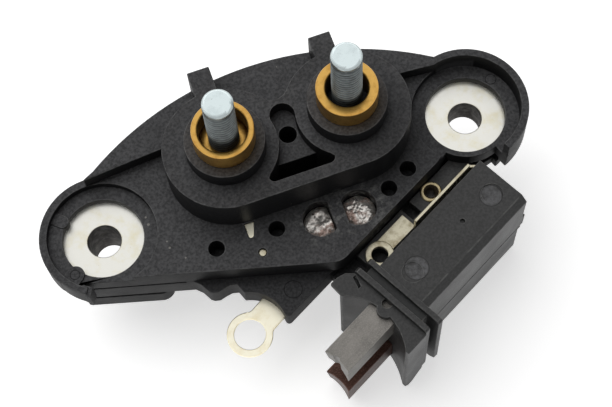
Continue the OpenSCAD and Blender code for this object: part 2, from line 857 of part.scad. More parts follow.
module shroud() {
    difference() {
        union() {
            shroud_roof();
            translate([0, shroud_v[1], 0])
                rotate([90, 0, 0])
                    linear_extrude(shroud_v[1] - shroud_v[0])
                        polygon([
                            [shroud_tip_u, shroud_top_z], [shroud_tip_u, box_bottom_z - 0.2],
                            [shroud_tip_u + 0.7, shroud_bottom_z], [shroud_tip_u + 1.8, shroud_bottom_z],
                            [front_flange_u - 0.9, box_bottom_z + 0.2],
                            [front_flange_u + eps, box_bottom_z + 1],
                            [front_flange_u + eps, shroud_top_z]
                        ]);
        }
        // A short slot in the roof, beside the front flange
        slab(shroud_top_z - roof_t, shroud_top_z + cut_over)
            polygon([
                [roof_slot_u[1], roof_slot_v[1]], [roof_slot_u[1] + roof_slot_w, roof_slot_v[1]],
                [roof_slot_u[0] + roof_slot_w, roof_slot_v[0]], [roof_slot_u[0], roof_slot_v[0]]
            ]);
        difference() {
            post(shroud_axis, shroud_r, shroud_bottom_z - cut_over, shroud_top_z + cut_over);
            post(pin_boss_xy, pin_boss_r, shroud_bottom_z - cut_over, shroud_top_z + cut_over);
        }
        post(pin_hole_xy, pin_hole_r, shroud_bottom_z - cut_over, shroud_top_z + cut_over);
    }
}

module brush_guide(top_z) {
    block(
        [shroud_axis.x, guide_end_u],
        [guide_mid_v - brush_w / 2 - brush_gap, guide_mid_v + brush_w / 2 + brush_gap],
        [top_z - brush_h - brush_gap, top_z + brush_gap]
    );
    translate([guide_end_u - cut_over, guide_mid_v, top_z - brush_h / 2])
        rotate([0, 90, 0])
            cylinder(r = pigtail_hole_r, h = tab_slot_u - guide_end_u + cut_over + eps);
}

module holder_ledge() {
    difference() {
        block([box_u - eps, ledge_end_u], [box_v[1] - eps, -side_dist - ledge_gap],
              [ledge_under_z, plate_under_z]);
        block(square_gap_u, [square_gap_v, -side_dist + 1], [ledge_under_z - 1, plate_under_z + 1]);
        post(rivet_xy, rivet_r, ledge_under_z - cut_over, plate_under_z + cut_over);
        post(eyelet_xy, eyelet_hole_r, ledge_under_z - cut_over, plate_under_z + cut_over);
    }
}

module brush_holder() {
    color("#2f2f31")
    in_holder()
    difference() {
        union() {
            guide_box();
            sealing_flange(flange_front_u, flange_v);
            sealing_flange(front_flange_u, front_flange_v);
            block([front_flange_u + flange_t - eps, flange_front_u + eps],
                  [box_v[0] - 0.9, box_v[1] + 0.9], [flange_bottom_z + 0.1, box_top_z - 0.5]);
            shroud();
            holder_ledge();
            block([box_end_u - eps, box_end_u + lug_side], [box_v[0] + 0.1, box_v[0] + 1.7],
                  [parting_z - 0.3, parting_z + 3.5]);
        }
        brush_guide(upper_brush_top_z);
        brush_guide(lower_brush_top_z);
        slab(tab_under_z, tab_top_z) upper_tab_outline();
        slab(lower_tab_z[0], lower_tab_z[1]) lower_tab_outline();
        // Parting groove along the outer side, with the lower half set back at the far end
        block([box_u + 3, box_end_u + 1], [box_v[0] - 1, box_v[0] + 0.35],
              [parting_z, parting_z + 0.4]);
        block([box_end_u - 0.6, box_end_u + 1], [box_v[0] - 1, box_v[1] + 1],
              [box_bottom_z - 1, parting_z - 0.7]);
        post([box_end_u - 3.2, guide_mid_v], ejector_r, box_top_z - ejector_depth, box_top_z + 1);
        post([box_u + 2.8, guide_mid_v + 0.6], ejector_r, box_top_z - ejector_depth, box_top_z + 1);
        post([box_end_u - 10.1, guide_mid_v + 0.4], 0.4, box_top_z - 0.6, box_top_z + 1);
    }
}

// Leads of the brushes

module upper_tab_outline() {
    polygon([
        [blade_bend_u - 0.2, blade_v - strip_t / 2], [blade_bend_u - 0.2, blade_v + strip_t / 2],
        [blade_bend_u + 0.2, blade_v + strip_t / 2], [tab_slot_u + strip_t, box_v[1] + 0.2],
        [tab_slot_u + strip_t, tab_end_v], [tab_slot_u, tab_end_v],
        [tab_slot_u, box_v[1]], [blade_bend_u, blade_v - strip_t / 2]
    ]);
}

module lower_tab_outline() {
    polygon([
        [tab_slot_u, tab_end_v], [tab_slot_u + strip_t, tab_end_v],
        [tab_slot_u + strip_t, box_v[1] + strip_t], [tab_slot_u, box_v[1] + strip_t]
    ]);
}

module brush_lead_strip() {
    color("#ddd6bd")
    in_holder()
    difference() {
        union() {
            // The eyelet's edge is cut off flat beside the guide box
            slab(plate_under_z, plate_under_z + strip_flat_t)
                intersection() {
                    translate(eyelet_xy) circle(r = eyelet_r);
                    translate([eyelet_xy.x - eyelet_r - 1, box_v[1]]) square(2 * eyelet_r + 2);
                }
            block([eyelet_xy.x + 0.9, strip_flat_end_u], strip_flat_v,
                  [plate_under_z, plate_under_z + strip_flat_t]);
            block([blade_start_u, blade_bend_u], [blade_v - strip_t / 2, blade_v + strip_t / 2],
                  [plate_under_z, box_top_z]);
            slab(tab_under_z, tab_top_z) upper_tab_outline();
        }
        post(eyelet_xy, eyelet_hole_r, plate_under_z - cut_over, plate_under_z + cut_over);
    }
}

module lower_brush_lead() {
    color("#ddd6bd")
    in_holder()
    union() {
        slab(lower_tab_z[0], lower_tab_z[1]) lower_tab_outline();
        block([lead_rise_u[0], tab_slot_u + strip_t], [box_v[1], box_v[1] + strip_t],
              [lower_tab_z[1] - 2, lower_tab_z[1]]);
        block(lead_rise_u, [box_v[1], box_v[1] + strip_t], [lower_tab_z[1] - 2, ledge_under_z]);
    }
}

module hollow_rivet() {
    color("#c9b98a")
    in_holder()
    difference() {
        union() {
            post(rivet_xy, rivet_r, body_under_z, plate_under_z + eps);
            post(rivet_xy, rivet_head_r, plate_under_z, plate_under_z + rivet_head_t);
            post(rivet_xy, rivet_head_r, body_under_z - rivet_head_t, body_under_z);
        }
        post(rivet_xy, rivet_bore_r, body_under_z - cut_over - 1, plate_under_z + cut_over);
    }
}

module brush(top_z) {
    difference() {
        block(
            [brush_tip_u, brush_rear_u],
            [guide_mid_v - brush_w / 2, guide_mid_v + brush_w / 2],
            [top_z - brush_h, top_z]
        );
        // The end is bedded in to the round of its slip ring
        post([brush_tip_u - brush_end_r + 0.45, guide_mid_v], brush_end_r,
             top_z - brush_h - cut_over, top_z + cut_over);
        children();
    }
}

module upper_brush() {
    color("#7d7a75")
    in_holder()
    brush(upper_brush_top_z)
        post([brush_tip_u + 0.1, guide_mid_v + 0.35], 0.75,
             upper_brush_top_z - brush_h - cut_over, upper_brush_top_z + cut_over);
}

module lower_brush() {
    color("#6b4038")
    in_holder()
    brush(lower_brush_top_z);
}

// A round wire wound along the brush direction
module coil_spring(top_z) {
    turns = 7;
    steps = 12;
    sides = 6;
    mean_r = (spring_d - spring_wire_d) / 2;
    start_u = brush_rear_u + spring_wire_d / 2;
    travel = guide_end_u - brush_rear_u - spring_wire_d;
    count = turns * steps;
    points = [
        for (i = [0:count])
            for (j = [0:sides - 1])
                let (
                    turn = 360 * i / steps,
                    side = 360 * j / sides,
                    reach = mean_r + spring_wire_d / 2 * cos(side)
                )
                [
                    start_u + travel * i / count + spring_wire_d / 2 * sin(side),
                    guide_mid_v + reach * cos(turn),
                    top_z - brush_h / 2 + reach * sin(turn)
                ]
    ];
    faces = concat(
        [[for (j = [0:sides - 1]) j]],
        [
            for (i = [0:count - 1])
                for (j = [0:sides - 1])
                    for (half = [0, 1])
                        let (next = (j + 1) % sides, here = i * sides, after = (i + 1) * sides)
                        half == 0 ? [here + j, after + j, after + next] : [here + j, after + next, here + next]
        ],
        [[for (j = [sides - 1:-1:0]) count * sides + j]]
    );
    polyhedron(points = points, faces = faces, convexity = 8);
}

module upper_spring() {
    color("#a9adb0")
    in_holder() coil_spring(upper_brush_top_z);
}

module lower_spring() {
    color("#a9adb0")
    in_holder() coil_spring(lower_brush_top_z);
}

module pigtail(top_z) {
    translate([brush_rear_u, guide_mid_v, top_z - brush_h / 2])
        rotate([0, 90, 0])
            cylinder(r = pigtail_r, h = tab_slot_u - brush_rear_u);
}

module upper_pigtail() {
    color("#b06a3b")
    in_holder() pigtail(upper_brush_top_z);
}

module lower_pigtail() {
    color("#b06a3b")
    in_holder() pigtail(lower_brush_top_z);
}

stud_plate();
regulator_body();
regulator_cover();
heat_sink_plate();
circuit_board();
regulator_chip();
potting();
left_lead_frame();
right_lead_frame();
left_mount_bush();
right_mount_bush();
left_stud();
right_stud();
left_collar();
right_collar();
left_inner_seat();
left_solder_joint();
right_solder_joint();
flat_pin();
round_pin();
ring_terminal();
brush_holder();
hollow_rivet();
brush_lead_strip();
lower_brush_lead();
upper_brush();
lower_brush();
upper_spring();
lower_spring();
upper_pigtail();
lower_pigtail();
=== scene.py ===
"""Alternator voltage regulator with brush holder: finished pieces, materials, light and camera."""
import math

import bmesh
import bpy
from mathutils import Matrix, Vector, noise


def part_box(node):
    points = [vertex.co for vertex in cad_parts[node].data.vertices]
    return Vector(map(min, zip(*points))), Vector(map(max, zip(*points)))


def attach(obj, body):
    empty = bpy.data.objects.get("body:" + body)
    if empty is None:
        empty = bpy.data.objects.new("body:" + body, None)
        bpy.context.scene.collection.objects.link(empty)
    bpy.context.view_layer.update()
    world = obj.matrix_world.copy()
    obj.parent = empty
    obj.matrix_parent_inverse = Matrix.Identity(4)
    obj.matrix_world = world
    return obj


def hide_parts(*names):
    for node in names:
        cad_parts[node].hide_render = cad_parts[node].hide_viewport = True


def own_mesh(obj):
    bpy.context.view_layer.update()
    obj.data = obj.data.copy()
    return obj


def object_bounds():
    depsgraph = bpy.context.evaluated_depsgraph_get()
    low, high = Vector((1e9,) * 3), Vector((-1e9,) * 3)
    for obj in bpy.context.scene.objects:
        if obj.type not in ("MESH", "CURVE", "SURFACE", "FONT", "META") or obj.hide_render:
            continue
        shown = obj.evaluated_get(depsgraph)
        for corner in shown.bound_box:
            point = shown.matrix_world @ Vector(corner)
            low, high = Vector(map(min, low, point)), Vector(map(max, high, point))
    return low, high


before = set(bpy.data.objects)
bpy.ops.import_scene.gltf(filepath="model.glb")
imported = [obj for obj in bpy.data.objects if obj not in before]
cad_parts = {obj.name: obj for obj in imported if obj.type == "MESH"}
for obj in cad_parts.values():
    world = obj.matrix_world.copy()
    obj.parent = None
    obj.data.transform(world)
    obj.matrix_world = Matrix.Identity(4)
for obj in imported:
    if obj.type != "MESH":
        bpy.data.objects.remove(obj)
cad_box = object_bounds()

MM = 0.001
UP = Vector((0, 0, 1))
HOLDER_TURN = math.radians(27.6)


# Camera

SENSOR_W = 36
FOCAL_LENGTH = 93.806
LENS_SHIFT = (-0.02508, -0.00454)
NEAREST_SEEN = 0.01
CAMERA_PLACE = Vector((9.36, -96.76, 248.16))
CAMERA_RIGHT = Vector((0.9409, -0.3379, -0.0226))
CAMERA_DOWN = Vector((-0.3234, -0.8765, -0.3565))
CAMERA_FORWARD = Vector((0.1007, 0.3428, -0.9340))


def place_camera():
    """Sets the camera at the photograph's viewing angle."""
    lens = bpy.data.cameras.new("camera")
    lens.sensor_width = SENSOR_W
    lens.lens = FOCAL_LENGTH
    lens.shift_x, lens.shift_y = LENS_SHIFT
    lens.clip_start = NEAREST_SEEN
    camera = bpy.data.objects.new("camera", lens)
    turn = Matrix((CAMERA_RIGHT, -CAMERA_DOWN, -CAMERA_FORWARD)).transposed()
    camera.matrix_world = Matrix.Translation(CAMERA_PLACE * MM) @ turn.to_4x4()
    bpy.context.scene.collection.objects.link(camera)
    bpy.context.scene.camera = camera


# Node helpers

def put(tree, kind, values=None, **settings):
    """Adds a node. A value that is a socket is linked, and any other is set on the input."""
    made = tree.nodes.new(kind)
    for name, value in settings.items():
        setattr(made, name, value)
    for name, value in (values or {}).items():
        if isinstance(value, bpy.types.NodeSocket):
            tree.links.new(value, made.inputs[name])
        else:
            made.inputs[name].default_value = value
    return made


def maths(tree, operation, *values, clamp=False):
    """The result of one Math node."""
    made = put(tree, "ShaderNodeMath", dict(enumerate(values)), operation=operation, use_clamp=clamp)
    return made.outputs[0]


def between(tree, value, low, high, to_low=0.0, to_high=1.0):
    """The value moved from one span to another, and held there."""
    made = put(tree, "ShaderNodeMapRange", {
        "Value": value, "From Min": low, "From Max": high, "To Min": to_low, "To Max": to_high,
    })
    return made.outputs["Result"]


def blend(tree, mask, first, second):
    """Two colours mixed by a mask."""
    made = put(tree, "ShaderNodeMix", {0: mask, 6: first, 7: second}, data_type="RGBA")
    return made.outputs[2]


def speckle(tree, vector, scale, detail=2.0, roughness=0.5):
    """A noise value over the surface."""
    made = put(tree, "ShaderNodeTexNoise", {
        "Vector": vector, "Scale": scale, "Detail": detail, "Roughness": roughness,
    })
    return made.outputs["Fac"]


def place_on_piece(tree):
    """The point on the piece, in metres."""
    return put(tree, "ShaderNodeTexCoord").outputs["Object"]


def marked(tree, name):
    """A value that the shaping left on the faces or vertices."""
    return put(tree, "ShaderNodeAttribute", attribute_name=name).outputs["Fac"]


def distance(tree, first, second):
    """How far one point is from another."""
    return put(tree, "ShaderNodeVectorMath", {0: first, 1: second}, operation="DISTANCE").outputs["Value"]


def seen_white(tree):
    """1 for the rays of the camera, of gloss and of glass, and 0 for the rays that carry light."""
    path = put(tree, "ShaderNodeLightPath").outputs
    in_gloss = maths(tree, "MAXIMUM", path["Is Glossy Ray"], path["Is Transmission Ray"])
    return maths(tree, "MAXIMUM", path["Is Camera Ray"], in_gloss)


def rgb(red, green, blue):
    """A colour given as it looks on a screen, 0 to 255."""
    def level(part):
        part = part / 255
        return part / 12.92 if part <= 0.04045 else ((part + 0.055) / 1.055) ** 2.4
    return (level(red), level(green), level(blue), 1.0)


# Shared effects

def new_group(name, inputs, outputs):
    """An empty shader group with named inputs and outputs."""
    tree = bpy.data.node_groups.new(name, "ShaderNodeTree")
    for label, value in inputs.items():
        kind = "NodeSocketVector" if isinstance(value, tuple) else "NodeSocketFloat"
        tree.interface.new_socket(label, in_out="INPUT", socket_type=kind).default_value = value
    for label in outputs:
        tree.interface.new_socket(label, in_out="OUTPUT", socket_type="NodeSocketFloat")
    return tree, tree.nodes.new("NodeGroupInput").outputs, tree.nodes.new("NodeGroupOutput").inputs


def moulded_grain_group():
    """The fine etched grain of a moulded face, its flecks, and the cloudy tone of its surface."""
    inputs = {"Grain": 2600.0, "Pit": 2300.0, "Cloud": 110.0}
    tree, given, out = new_group("moulded_grain", inputs, ["Height", "Fleck", "Tone"])
    place = place_on_piece(tree)
    fine = speckle(tree, place, given["Grain"], 3.0, 0.65)
    pits = speckle(tree, place, given["Pit"], 2.0, 0.55)
    tree.links.new(maths(tree, "MULTIPLY_ADD", pits, 0.6, fine), out["Height"])
    tree.links.new(between(tree, pits, 0.36, 0.64), out["Fleck"])
    tree.links.new(speckle(tree, place, given["Cloud"], 4.0, 0.6), out["Tone"])
    return tree


def edge_wear_and_highlight_group():
    """Rubbed edges, which are partly painted highlight where the edge colour is pale: the rounded edge faces,
    broken up by noise.
    """
    tree, given, out = new_group("edge_wear_and_highlight", {"Amount": 0.5, "Patch": 500.0}, ["Mask"])
    patches = speckle(tree, place_on_piece(tree), given["Patch"], 3.0, 0.65)
    broken = between(tree, patches, 0.42, 0.64, 0.15, 1.0)
    mask = maths(tree, "MULTIPLY", marked(tree, "edge"), broken)
    tree.links.new(maths(tree, "MULTIPLY", mask, given["Amount"]), out["Mask"])
    return tree


def dust_group():
    """Sparse pale specks and lint."""
    tree, given, out = new_group("dust", {"Spacing": 520.0, "Share": 0.12, "Size": 0.1}, ["Mask"])
    cells = put(tree, "ShaderNodeTexVoronoi", {"Vector": place_on_piece(tree), "Scale": given["Spacing"]})
    chance = put(tree, "ShaderNodeSeparateColor", {"Color": cells.outputs["Color"]})
    chosen = maths(tree, "LESS_THAN", chance.outputs["Red"], given["Share"])
    size = maths(tree, "MULTIPLY", given["Size"], maths(tree, "ADD", chance.outputs["Green"], 0.4))
    spot = maths(tree, "LESS_THAN", cells.outputs["Distance"], size)
    tree.links.new(maths(tree, "MULTIPLY", chosen, spot), out["Mask"])
    return tree


def residue_group():
    """A powdery haze about one place, which thins out with distance."""
    inputs = {"Centre": (0.0, 0.0, 0.0), "Reach": 0.005, "Patch": 700.0}
    tree, given, out = new_group("residue", inputs, ["Mask"])
    place = place_on_piece(tree)
    away = maths(tree, "DIVIDE", distance(tree, place, given["Centre"]), given["Reach"])
    near = between(tree, away, 0.45, 1.0, 1.0, 0.0)
    patches = between(tree, speckle(tree, place, given["Patch"], 4.0, 0.7), 0.5, 0.68)
    tree.links.new(maths(tree, "MULTIPLY", near, patches), out["Mask"])
    return tree


def round_mark_group():
    """The crease that an ejector pin leaves round itself, and the scraped disc within it."""
    inputs = {"Centre": (0.0, 0.0, 0.0), "Radius": 0.0015, "Crease": 0.00012, "Scrape": 700.0}
    tree, given, out = new_group("round_mark", inputs, ["Height", "Disc"])
    place = place_on_piece(tree)
    flat = put(tree, "ShaderNodeVectorMath", {0: place, 1: (1.0, 1.0, 0.0)}, operation="MULTIPLY")
    away = distance(tree, flat.outputs[0], given["Centre"])
    off = maths(tree, "ABSOLUTE", maths(tree, "SUBTRACT", away, given["Radius"]))
    tree.links.new(between(tree, off, 0.0, given["Crease"]), out["Height"])
    within = between(tree, away, given["Radius"], maths(tree, "MULTIPLY", given["Radius"], 0.9))
    scrapes = between(tree, speckle(tree, place, given["Scrape"], 4.0, 0.7), 0.4, 0.62)
    tree.links.new(maths(tree, "MULTIPLY", within, scrapes), out["Disc"])
    return tree


def tin_stain_group():
    """Yellowed patches and small dark specks on tin plate."""
    inputs = {"Patch": 260.0, "Speck": 1500.0, "Amount": 0.6}
    tree, given, out = new_group("tin_stain", inputs, ["Stain", "Specks"])
    place = place_on_piece(tree)
    patches = between(tree, speckle(tree, place, given["Patch"], 5.0, 0.65), 0.48, 0.7)
    tree.links.new(maths(tree, "MULTIPLY", patches, given["Amount"]), out["Stain"])
    specks = between(tree, speckle(tree, place, given["Speck"], 2.0, 0.6), 0.68, 0.74)
    tree.links.new(maths(tree, "MULTIPLY", specks, patches), out["Specks"])
    return tree


def painted_shade_group():
    """Painted shade where a bore or a groove would lie in shadow: the marked faces or vertices, broken up by
    noise.
    """
    tree, given, out = new_group("painted_shade", {"Patch": 900.0}, ["Mask"])
    patches = speckle(tree, place_on_piece(tree), given["Patch"], 3.0, 0.6)
    broken = between(tree, patches, 0.3, 0.6, 0.88, 1.0)
    tree.links.new(maths(tree, "MULTIPLY", marked(tree, "dark"), broken), out["Mask"])
    return tree


def drawn_lines_group():
    """Fine lines left by turning, drawing or rubbing, stretched one way."""
    inputs = {"Stretch": (1.0, 1.0, 1.0), "Turn": 0.0, "Line": 1000.0}
    tree, given, out = new_group("drawn_lines", inputs, ["Height"])
    values = {"Vector": place_on_piece(tree), "Angle": given["Turn"]}
    turned = put(tree, "ShaderNodeVectorRotate", values, rotation_type="Z_AXIS").outputs[0]
    stretched = put(tree, "ShaderNodeVectorMath", {0: turned, 1: given["Stretch"]}, operation="MULTIPLY")
    tree.links.new(speckle(tree, stretched.outputs[0], given["Line"], 3.0, 0.7), out["Height"])
    return tree


GRAIN_GROUP = moulded_grain_group()
WEAR_AND_HIGHLIGHT_GROUP = edge_wear_and_highlight_group()
DUST_GROUP = dust_group()
RESIDUE_GROUP = residue_group()
ROUND_MARK_GROUP = round_mark_group()
TIN_STAIN_GROUP = tin_stain_group()
PAINTED_SHADE_GROUP = painted_shade_group()
LINES_GROUP = drawn_lines_group()


def use(tree, group, **values):
    """One shared group in a material, with its own values. Returns its outputs."""
    made = tree.nodes.new("ShaderNodeGroup")
    made.node_tree = group
    for name, value in values.items():
        made.inputs[name].default_value = value
    return made.outputs


def new_material(name, **fixed):
    """A material with its shader, and the values that are the same all over."""
    material = bpy.data.materials.new(name)
    material.use_nodes = True
    tree = material.node_tree
    shader = tree.nodes["Principled BSDF"]
    for label, value in fixed.items():
        shader.inputs[label.replace("_", " ")].default_value = value
    return material, tree, shader.inputs


def bump(tree, height, strength, depth, under=None):
    """A normal bent by a height. It can lie over another bump."""
    values = {"Height": height, "Strength": strength, "Distance": depth}
    if under:
        values["Normal"] = under
    return put(tree, "ShaderNodeBump", values).outputs["Normal"]


# Materials

NOISE_SPAN = (0.3, 0.7)
TONE_SPAN = (0.82, 1.18)
FLECK_SPAN = (0.7, 1.36)
DUST_SHARE = 0.1
DUST_STRENGTH = 0.3
GRAIN_DEPTH = 0.00007
CREASE_DEPTH = 0.0001
DUST = rgb(196, 192, 184)
HAZE = rgb(188, 188, 184)
# Painted shade in the crease round an ejector mark.
CREASE_SHADE = rgb(12, 12, 12)
SCRAPED = rgb(98, 98, 100)
TIN_SPECK = rgb(96, 84, 64)


def moulded_plastic(name, colour, top_light_colour, wear_and_highlight_colour, roughness=0.5, wear_and_highlight=0.5, residues=(), marks=(),
                    gloss=0.12):
    """Black moulded plastic with etched grain, painted light that makes the upward faces lighter, pale edges
    that are partly rubbed wear and partly painted highlight, and a few specks.
    """
    material, tree, shader = new_material(name, Specular_IOR_Level=gloss)
    grain = use(tree, GRAIN_GROUP)
    tone = between(tree, grain["Tone"], *NOISE_SPAN, *TONE_SPAN)
    flecked = maths(tree, "MULTIPLY", tone, between(tree, grain["Fleck"], 0, 1, *FLECK_SPAN))
    # Painted light: the marked upward faces take the lighter top colour, and the pocket and the flange gap
    # get little of it, as painted shade.
    painted_top_lit = blend(tree, marked(tree, "painted_top_light"), colour, top_light_colour)
    tinted = put(tree, "ShaderNodeVectorMath", {0: painted_top_lit, "Scale": flecked}, operation="SCALE").outputs[0]
    # Pale edges: partly rubbed wear, partly painted highlight.
    worn_and_lit = blend(tree, use(tree, WEAR_AND_HIGHLIGHT_GROUP, Amount=wear_and_highlight)["Mask"], tinted, wear_and_highlight_colour)
    specks = use(tree, DUST_GROUP, Share=DUST_SHARE)["Mask"]
    dusty = blend(tree, maths(tree, "MULTIPLY", specks, DUST_STRENGTH), worn_and_lit, DUST)
    for centre, reach, amount in residues:
        haze = use(tree, RESIDUE_GROUP, Centre=centre, Reach=reach)["Mask"]
        dusty = blend(tree, maths(tree, "MULTIPLY", haze, amount), dusty, HAZE)
    normal = bump(tree, grain["Height"], 0.4, GRAIN_DEPTH)
    for centre, radius, scraped in marks:
        mark = use(tree, ROUND_MARK_GROUP, Centre=centre, Radius=radius)
        normal = bump(tree, mark["Height"], 0.6, CREASE_DEPTH, normal)
        # Painted shade along the crease.
        dusty = blend(tree, between(tree, mark["Height"], 0.2, 0.9, 0.75, 0.0), dusty, CREASE_SHADE)
        if scraped:
            dusty = blend(tree, maths(tree, "MULTIPLY", mark["Disc"], scraped), dusty, SCRAPED)
    tree.links.new(dusty, shader["Base Color"])
    rough = between(tree, grain["Tone"], *NOISE_SPAN, roughness - 0.07, roughness + 0.07)
    tree.links.new(maths(tree, "MULTIPLY_ADD", specks, 0.3, rough, clamp=True), shader["Roughness"])
    tree.links.new(normal, shader["Normal"])
    return material


def plated_metal(name, colour, stain_colour, roughness, patch, stain, stretch=(1, 1, 1), lines=0.2,
                 shade_colour=rgb(60, 50, 40)):
    """Plated sheet or turned metal, with stains, specks, fine lines, and painted shade in bores and grooves.
    """
    material, tree, shader = new_material(name)
    stains = use(tree, TIN_STAIN_GROUP, Patch=patch, Amount=stain)
    stained = blend(tree, stains["Stain"], colour, stain_colour)
    specked = blend(tree, maths(tree, "MULTIPLY", stains["Specks"], 0.6), stained, TIN_SPECK)
    rubbed = blend(tree, use(tree, WEAR_AND_HIGHLIGHT_GROUP, Amount=0.3)["Mask"], specked, stain_colour)
    # Painted shade: the marked bores and grooves take the dark shade colour.
    dark = use(tree, PAINTED_SHADE_GROUP)["Mask"]
    tree.links.new(blend(tree, dark, rubbed, shade_colour), shader["Base Color"])
    tree.links.new(maths(tree, "SUBTRACT", 1.0, maths(tree, "MULTIPLY", dark, 0.4)), shader["Metallic"])
    height = use(tree, LINES_GROUP, Stretch=stretch)["Height"]
    rough = maths(tree, "MULTIPLY_ADD", height, 0.14, roughness - 0.07)
    stained_rough = maths(tree, "MULTIPLY_ADD", stains["Stain"], 0.12, rough)
    tree.links.new(maths(tree, "MULTIPLY_ADD", dark, 0.25, stained_rough), shader["Roughness"])
    tree.links.new(bump(tree, height, lines, 0.00003), shader["Normal"])
    return material


def pressed_carbon(name, colour, bright, dark, roughness, glint, gloss):
    """A pressed carbon block: fine grains, lines rubbed along it by its guide, and bright edges that are
    partly rubbed wear and partly painted highlight.
    """
    material, tree, shader = new_material(name, Specular_IOR_Level=gloss)
    place = place_on_piece(tree)
    grains = speckle(tree, place, 5200.0, 2.0, 0.7)
    lines = use(tree, LINES_GROUP, Stretch=(0.1, 2.2, 2.2), Turn=-HOLDER_TURN)["Height"]
    cloud = between(tree, speckle(tree, place, 240.0, 4.0, 0.6), 0.35, 0.65)
    mixed = blend(tree, cloud, dark, colour)
    grained = blend(tree, between(tree, grains, 0.45, 0.7, 0.0, 0.5), mixed, bright)
    streaked = blend(tree, between(tree, lines, 0.52, 0.7, 0.0, 0.35), grained, dark)
    # Bright edges: partly rubbed wear, partly painted highlight.
    edge_worn_and_lit = blend(tree, use(tree, WEAR_AND_HIGHLIGHT_GROUP, Amount=0.75, Patch=700.0)["Mask"], streaked, bright)
    tree.links.new(edge_worn_and_lit, shader["Base Color"])
    tree.links.new(between(tree, grains, 0.4, 0.7, 0.0, glint), shader["Metallic"])
    rough = between(tree, lines, *NOISE_SPAN, roughness + 0.08, roughness - 0.08)
    tree.links.new(rough, shader["Roughness"])
    tree.links.new(bump(tree, maths(tree, "ADD", grains, lines), 0.25, 0.00004), shader["Normal"])
    return material


def fluxed_solder(name):
    """Bright solder with brown flux in its hollows and small dark pits."""
    material, tree, shader = new_material(name)
    place = place_on_piece(tree)
    swells = speckle(tree, place, 300.0, 3.0, 0.55)
    fine = speckle(tree, place, 1500.0, 4.0, 0.65)
    bare = blend(tree, between(tree, fine, 0.35, 0.6), rgb(176, 170, 164), rgb(236, 232, 226))
    flux = between(tree, speckle(tree, place, 360.0, 5.0, 0.75), 0.5, 0.6)
    brown = blend(tree, between(tree, fine, 0.4, 0.6), rgb(104, 74, 60), rgb(186, 152, 138))
    coloured = blend(tree, maths(tree, "MULTIPLY", flux, 0.85), bare, brown)
    pits = between(tree, speckle(tree, place, 1300.0, 2.0, 0.5), 0.66, 0.7)
    tree.links.new(blend(tree, pits, coloured, rgb(48, 34, 28)), shader["Base Color"])
    tree.links.new(between(tree, maths(tree, "ADD", flux, pits), 0.0, 1.0, 0.8, 0.1), shader["Metallic"])
    tree.links.new(between(tree, swells, 0.35, 0.65, 0.26, 0.44), shader["Roughness"])
    tree.links.new(bump(tree, maths(tree, "MULTIPLY_ADD", fine, 0.3, swells), 0.35, 0.0002), shader["Normal"])
    return material


def plain_finish(name, colour, second, roughness, metallic=0.0, patch=300.0):
    """The finish of a hidden piece: two close tones, and a fine surface."""
    material, tree, shader = new_material(name, Metallic=metallic)
    place = place_on_piece(tree)
    tone = speckle(tree, place, patch, 4.0, 0.6)
    tree.links.new(blend(tree, between(tree, tone, 0.4, 0.6), colour, second), shader["Base Color"])
    rough = between(tree, tone, *NOISE_SPAN, roughness - 0.08, roughness + 0.08)
    tree.links.new(rough, shader["Roughness"])
    tree.links.new(bump(tree, speckle(tree, place, 2400.0, 2.0, 0.6), 0.2, 0.00004), shader["Normal"])
    return material


def twisted_copper(name):
    """Bare copper braid: slanting strands round the lead."""
    material, tree, shader = new_material(name, Metallic=1.0)
    strands = use(tree, LINES_GROUP, Stretch=(0.6, 2.0, 2.0), Turn=-HOLDER_TURN)["Height"]
    copper = blend(tree, between(tree, strands, 0.35, 0.65), rgb(112, 58, 30), rgb(206, 128, 84))
    tree.links.new(copper, shader["Base Color"])
    tree.links.new(between(tree, strands, *NOISE_SPAN, 0.5, 0.3), shader["Roughness"])
    tree.links.new(bump(tree, strands, 0.8, 0.0001), shader["Normal"])
    return material


# Shaping helpers

SAME_POINT = 0.002 * MM
SAME_PLANE = math.radians(0.6)
POCKET_X = (24, 40)
POCKET_Y = (-4, 12)
POCKET_TOP_Z = 7
FLANGE_GAP_U = (24.2, 25.6)
FLANGE_GAP_Z = (2, 3)
# Share of the painted top light in the pocket and the flange gap, where the low share is painted shade, and
# on the undersides.
SHADED_SHARE_OF_TOP_LIGHT = 0.1
UNDERSIDE_SHARE_OF_TOP_LIGHT = 0.5


def merged_copy(node):
    """A bmesh of a CAD node's shape, with its flat faces whole."""
    bm = bmesh.new()
    bm.from_mesh(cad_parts[node].data)
    bmesh.ops.remove_doubles(bm, verts=bm.verts, dist=SAME_POINT)
    bmesh.ops.dissolve_limit(bm, angle_limit=SAME_PLANE, verts=bm.verts, edges=bm.edges)
    return bm


def whole(bm):
    """All the parts of a shape, for a cut."""
    return bm.verts[:] + bm.edges[:] + bm.faces[:]


def open_edges(bm):
    """The edges round the holes of a shape."""
    return [edge for edge in bm.edges if edge.is_boundary]


def turns_by(edge, angle):
    """Whether the faces at an edge turn by more than the angle, in degrees."""
    return edge.is_manifold and edge.calc_face_angle(0) > math.radians(angle)


def upright(edge):
    """Whether an edge stands straight up, or nearly."""
    return abs((edge.verts[0].co - edge.verts[1].co).normalized().z) > 0.9


def sharp_edges(bm, angle=30):
    """The edges that turn by more than the angle, and are not in a hollow corner."""
    return [edge for edge in bm.edges if edge.is_convex and turns_by(edge, angle)]


def bevel_corners(bm, edges, radius, segments):
    """Rounds corners, and leaves the new faces unmarked."""
    bmesh.ops.bevel(
        bm, geom=edges, offset=radius * MM, offset_type="OFFSET", segments=segments, profile=0.5,
        affect="EDGES", clamp_overlap=True, material=-1,
    )


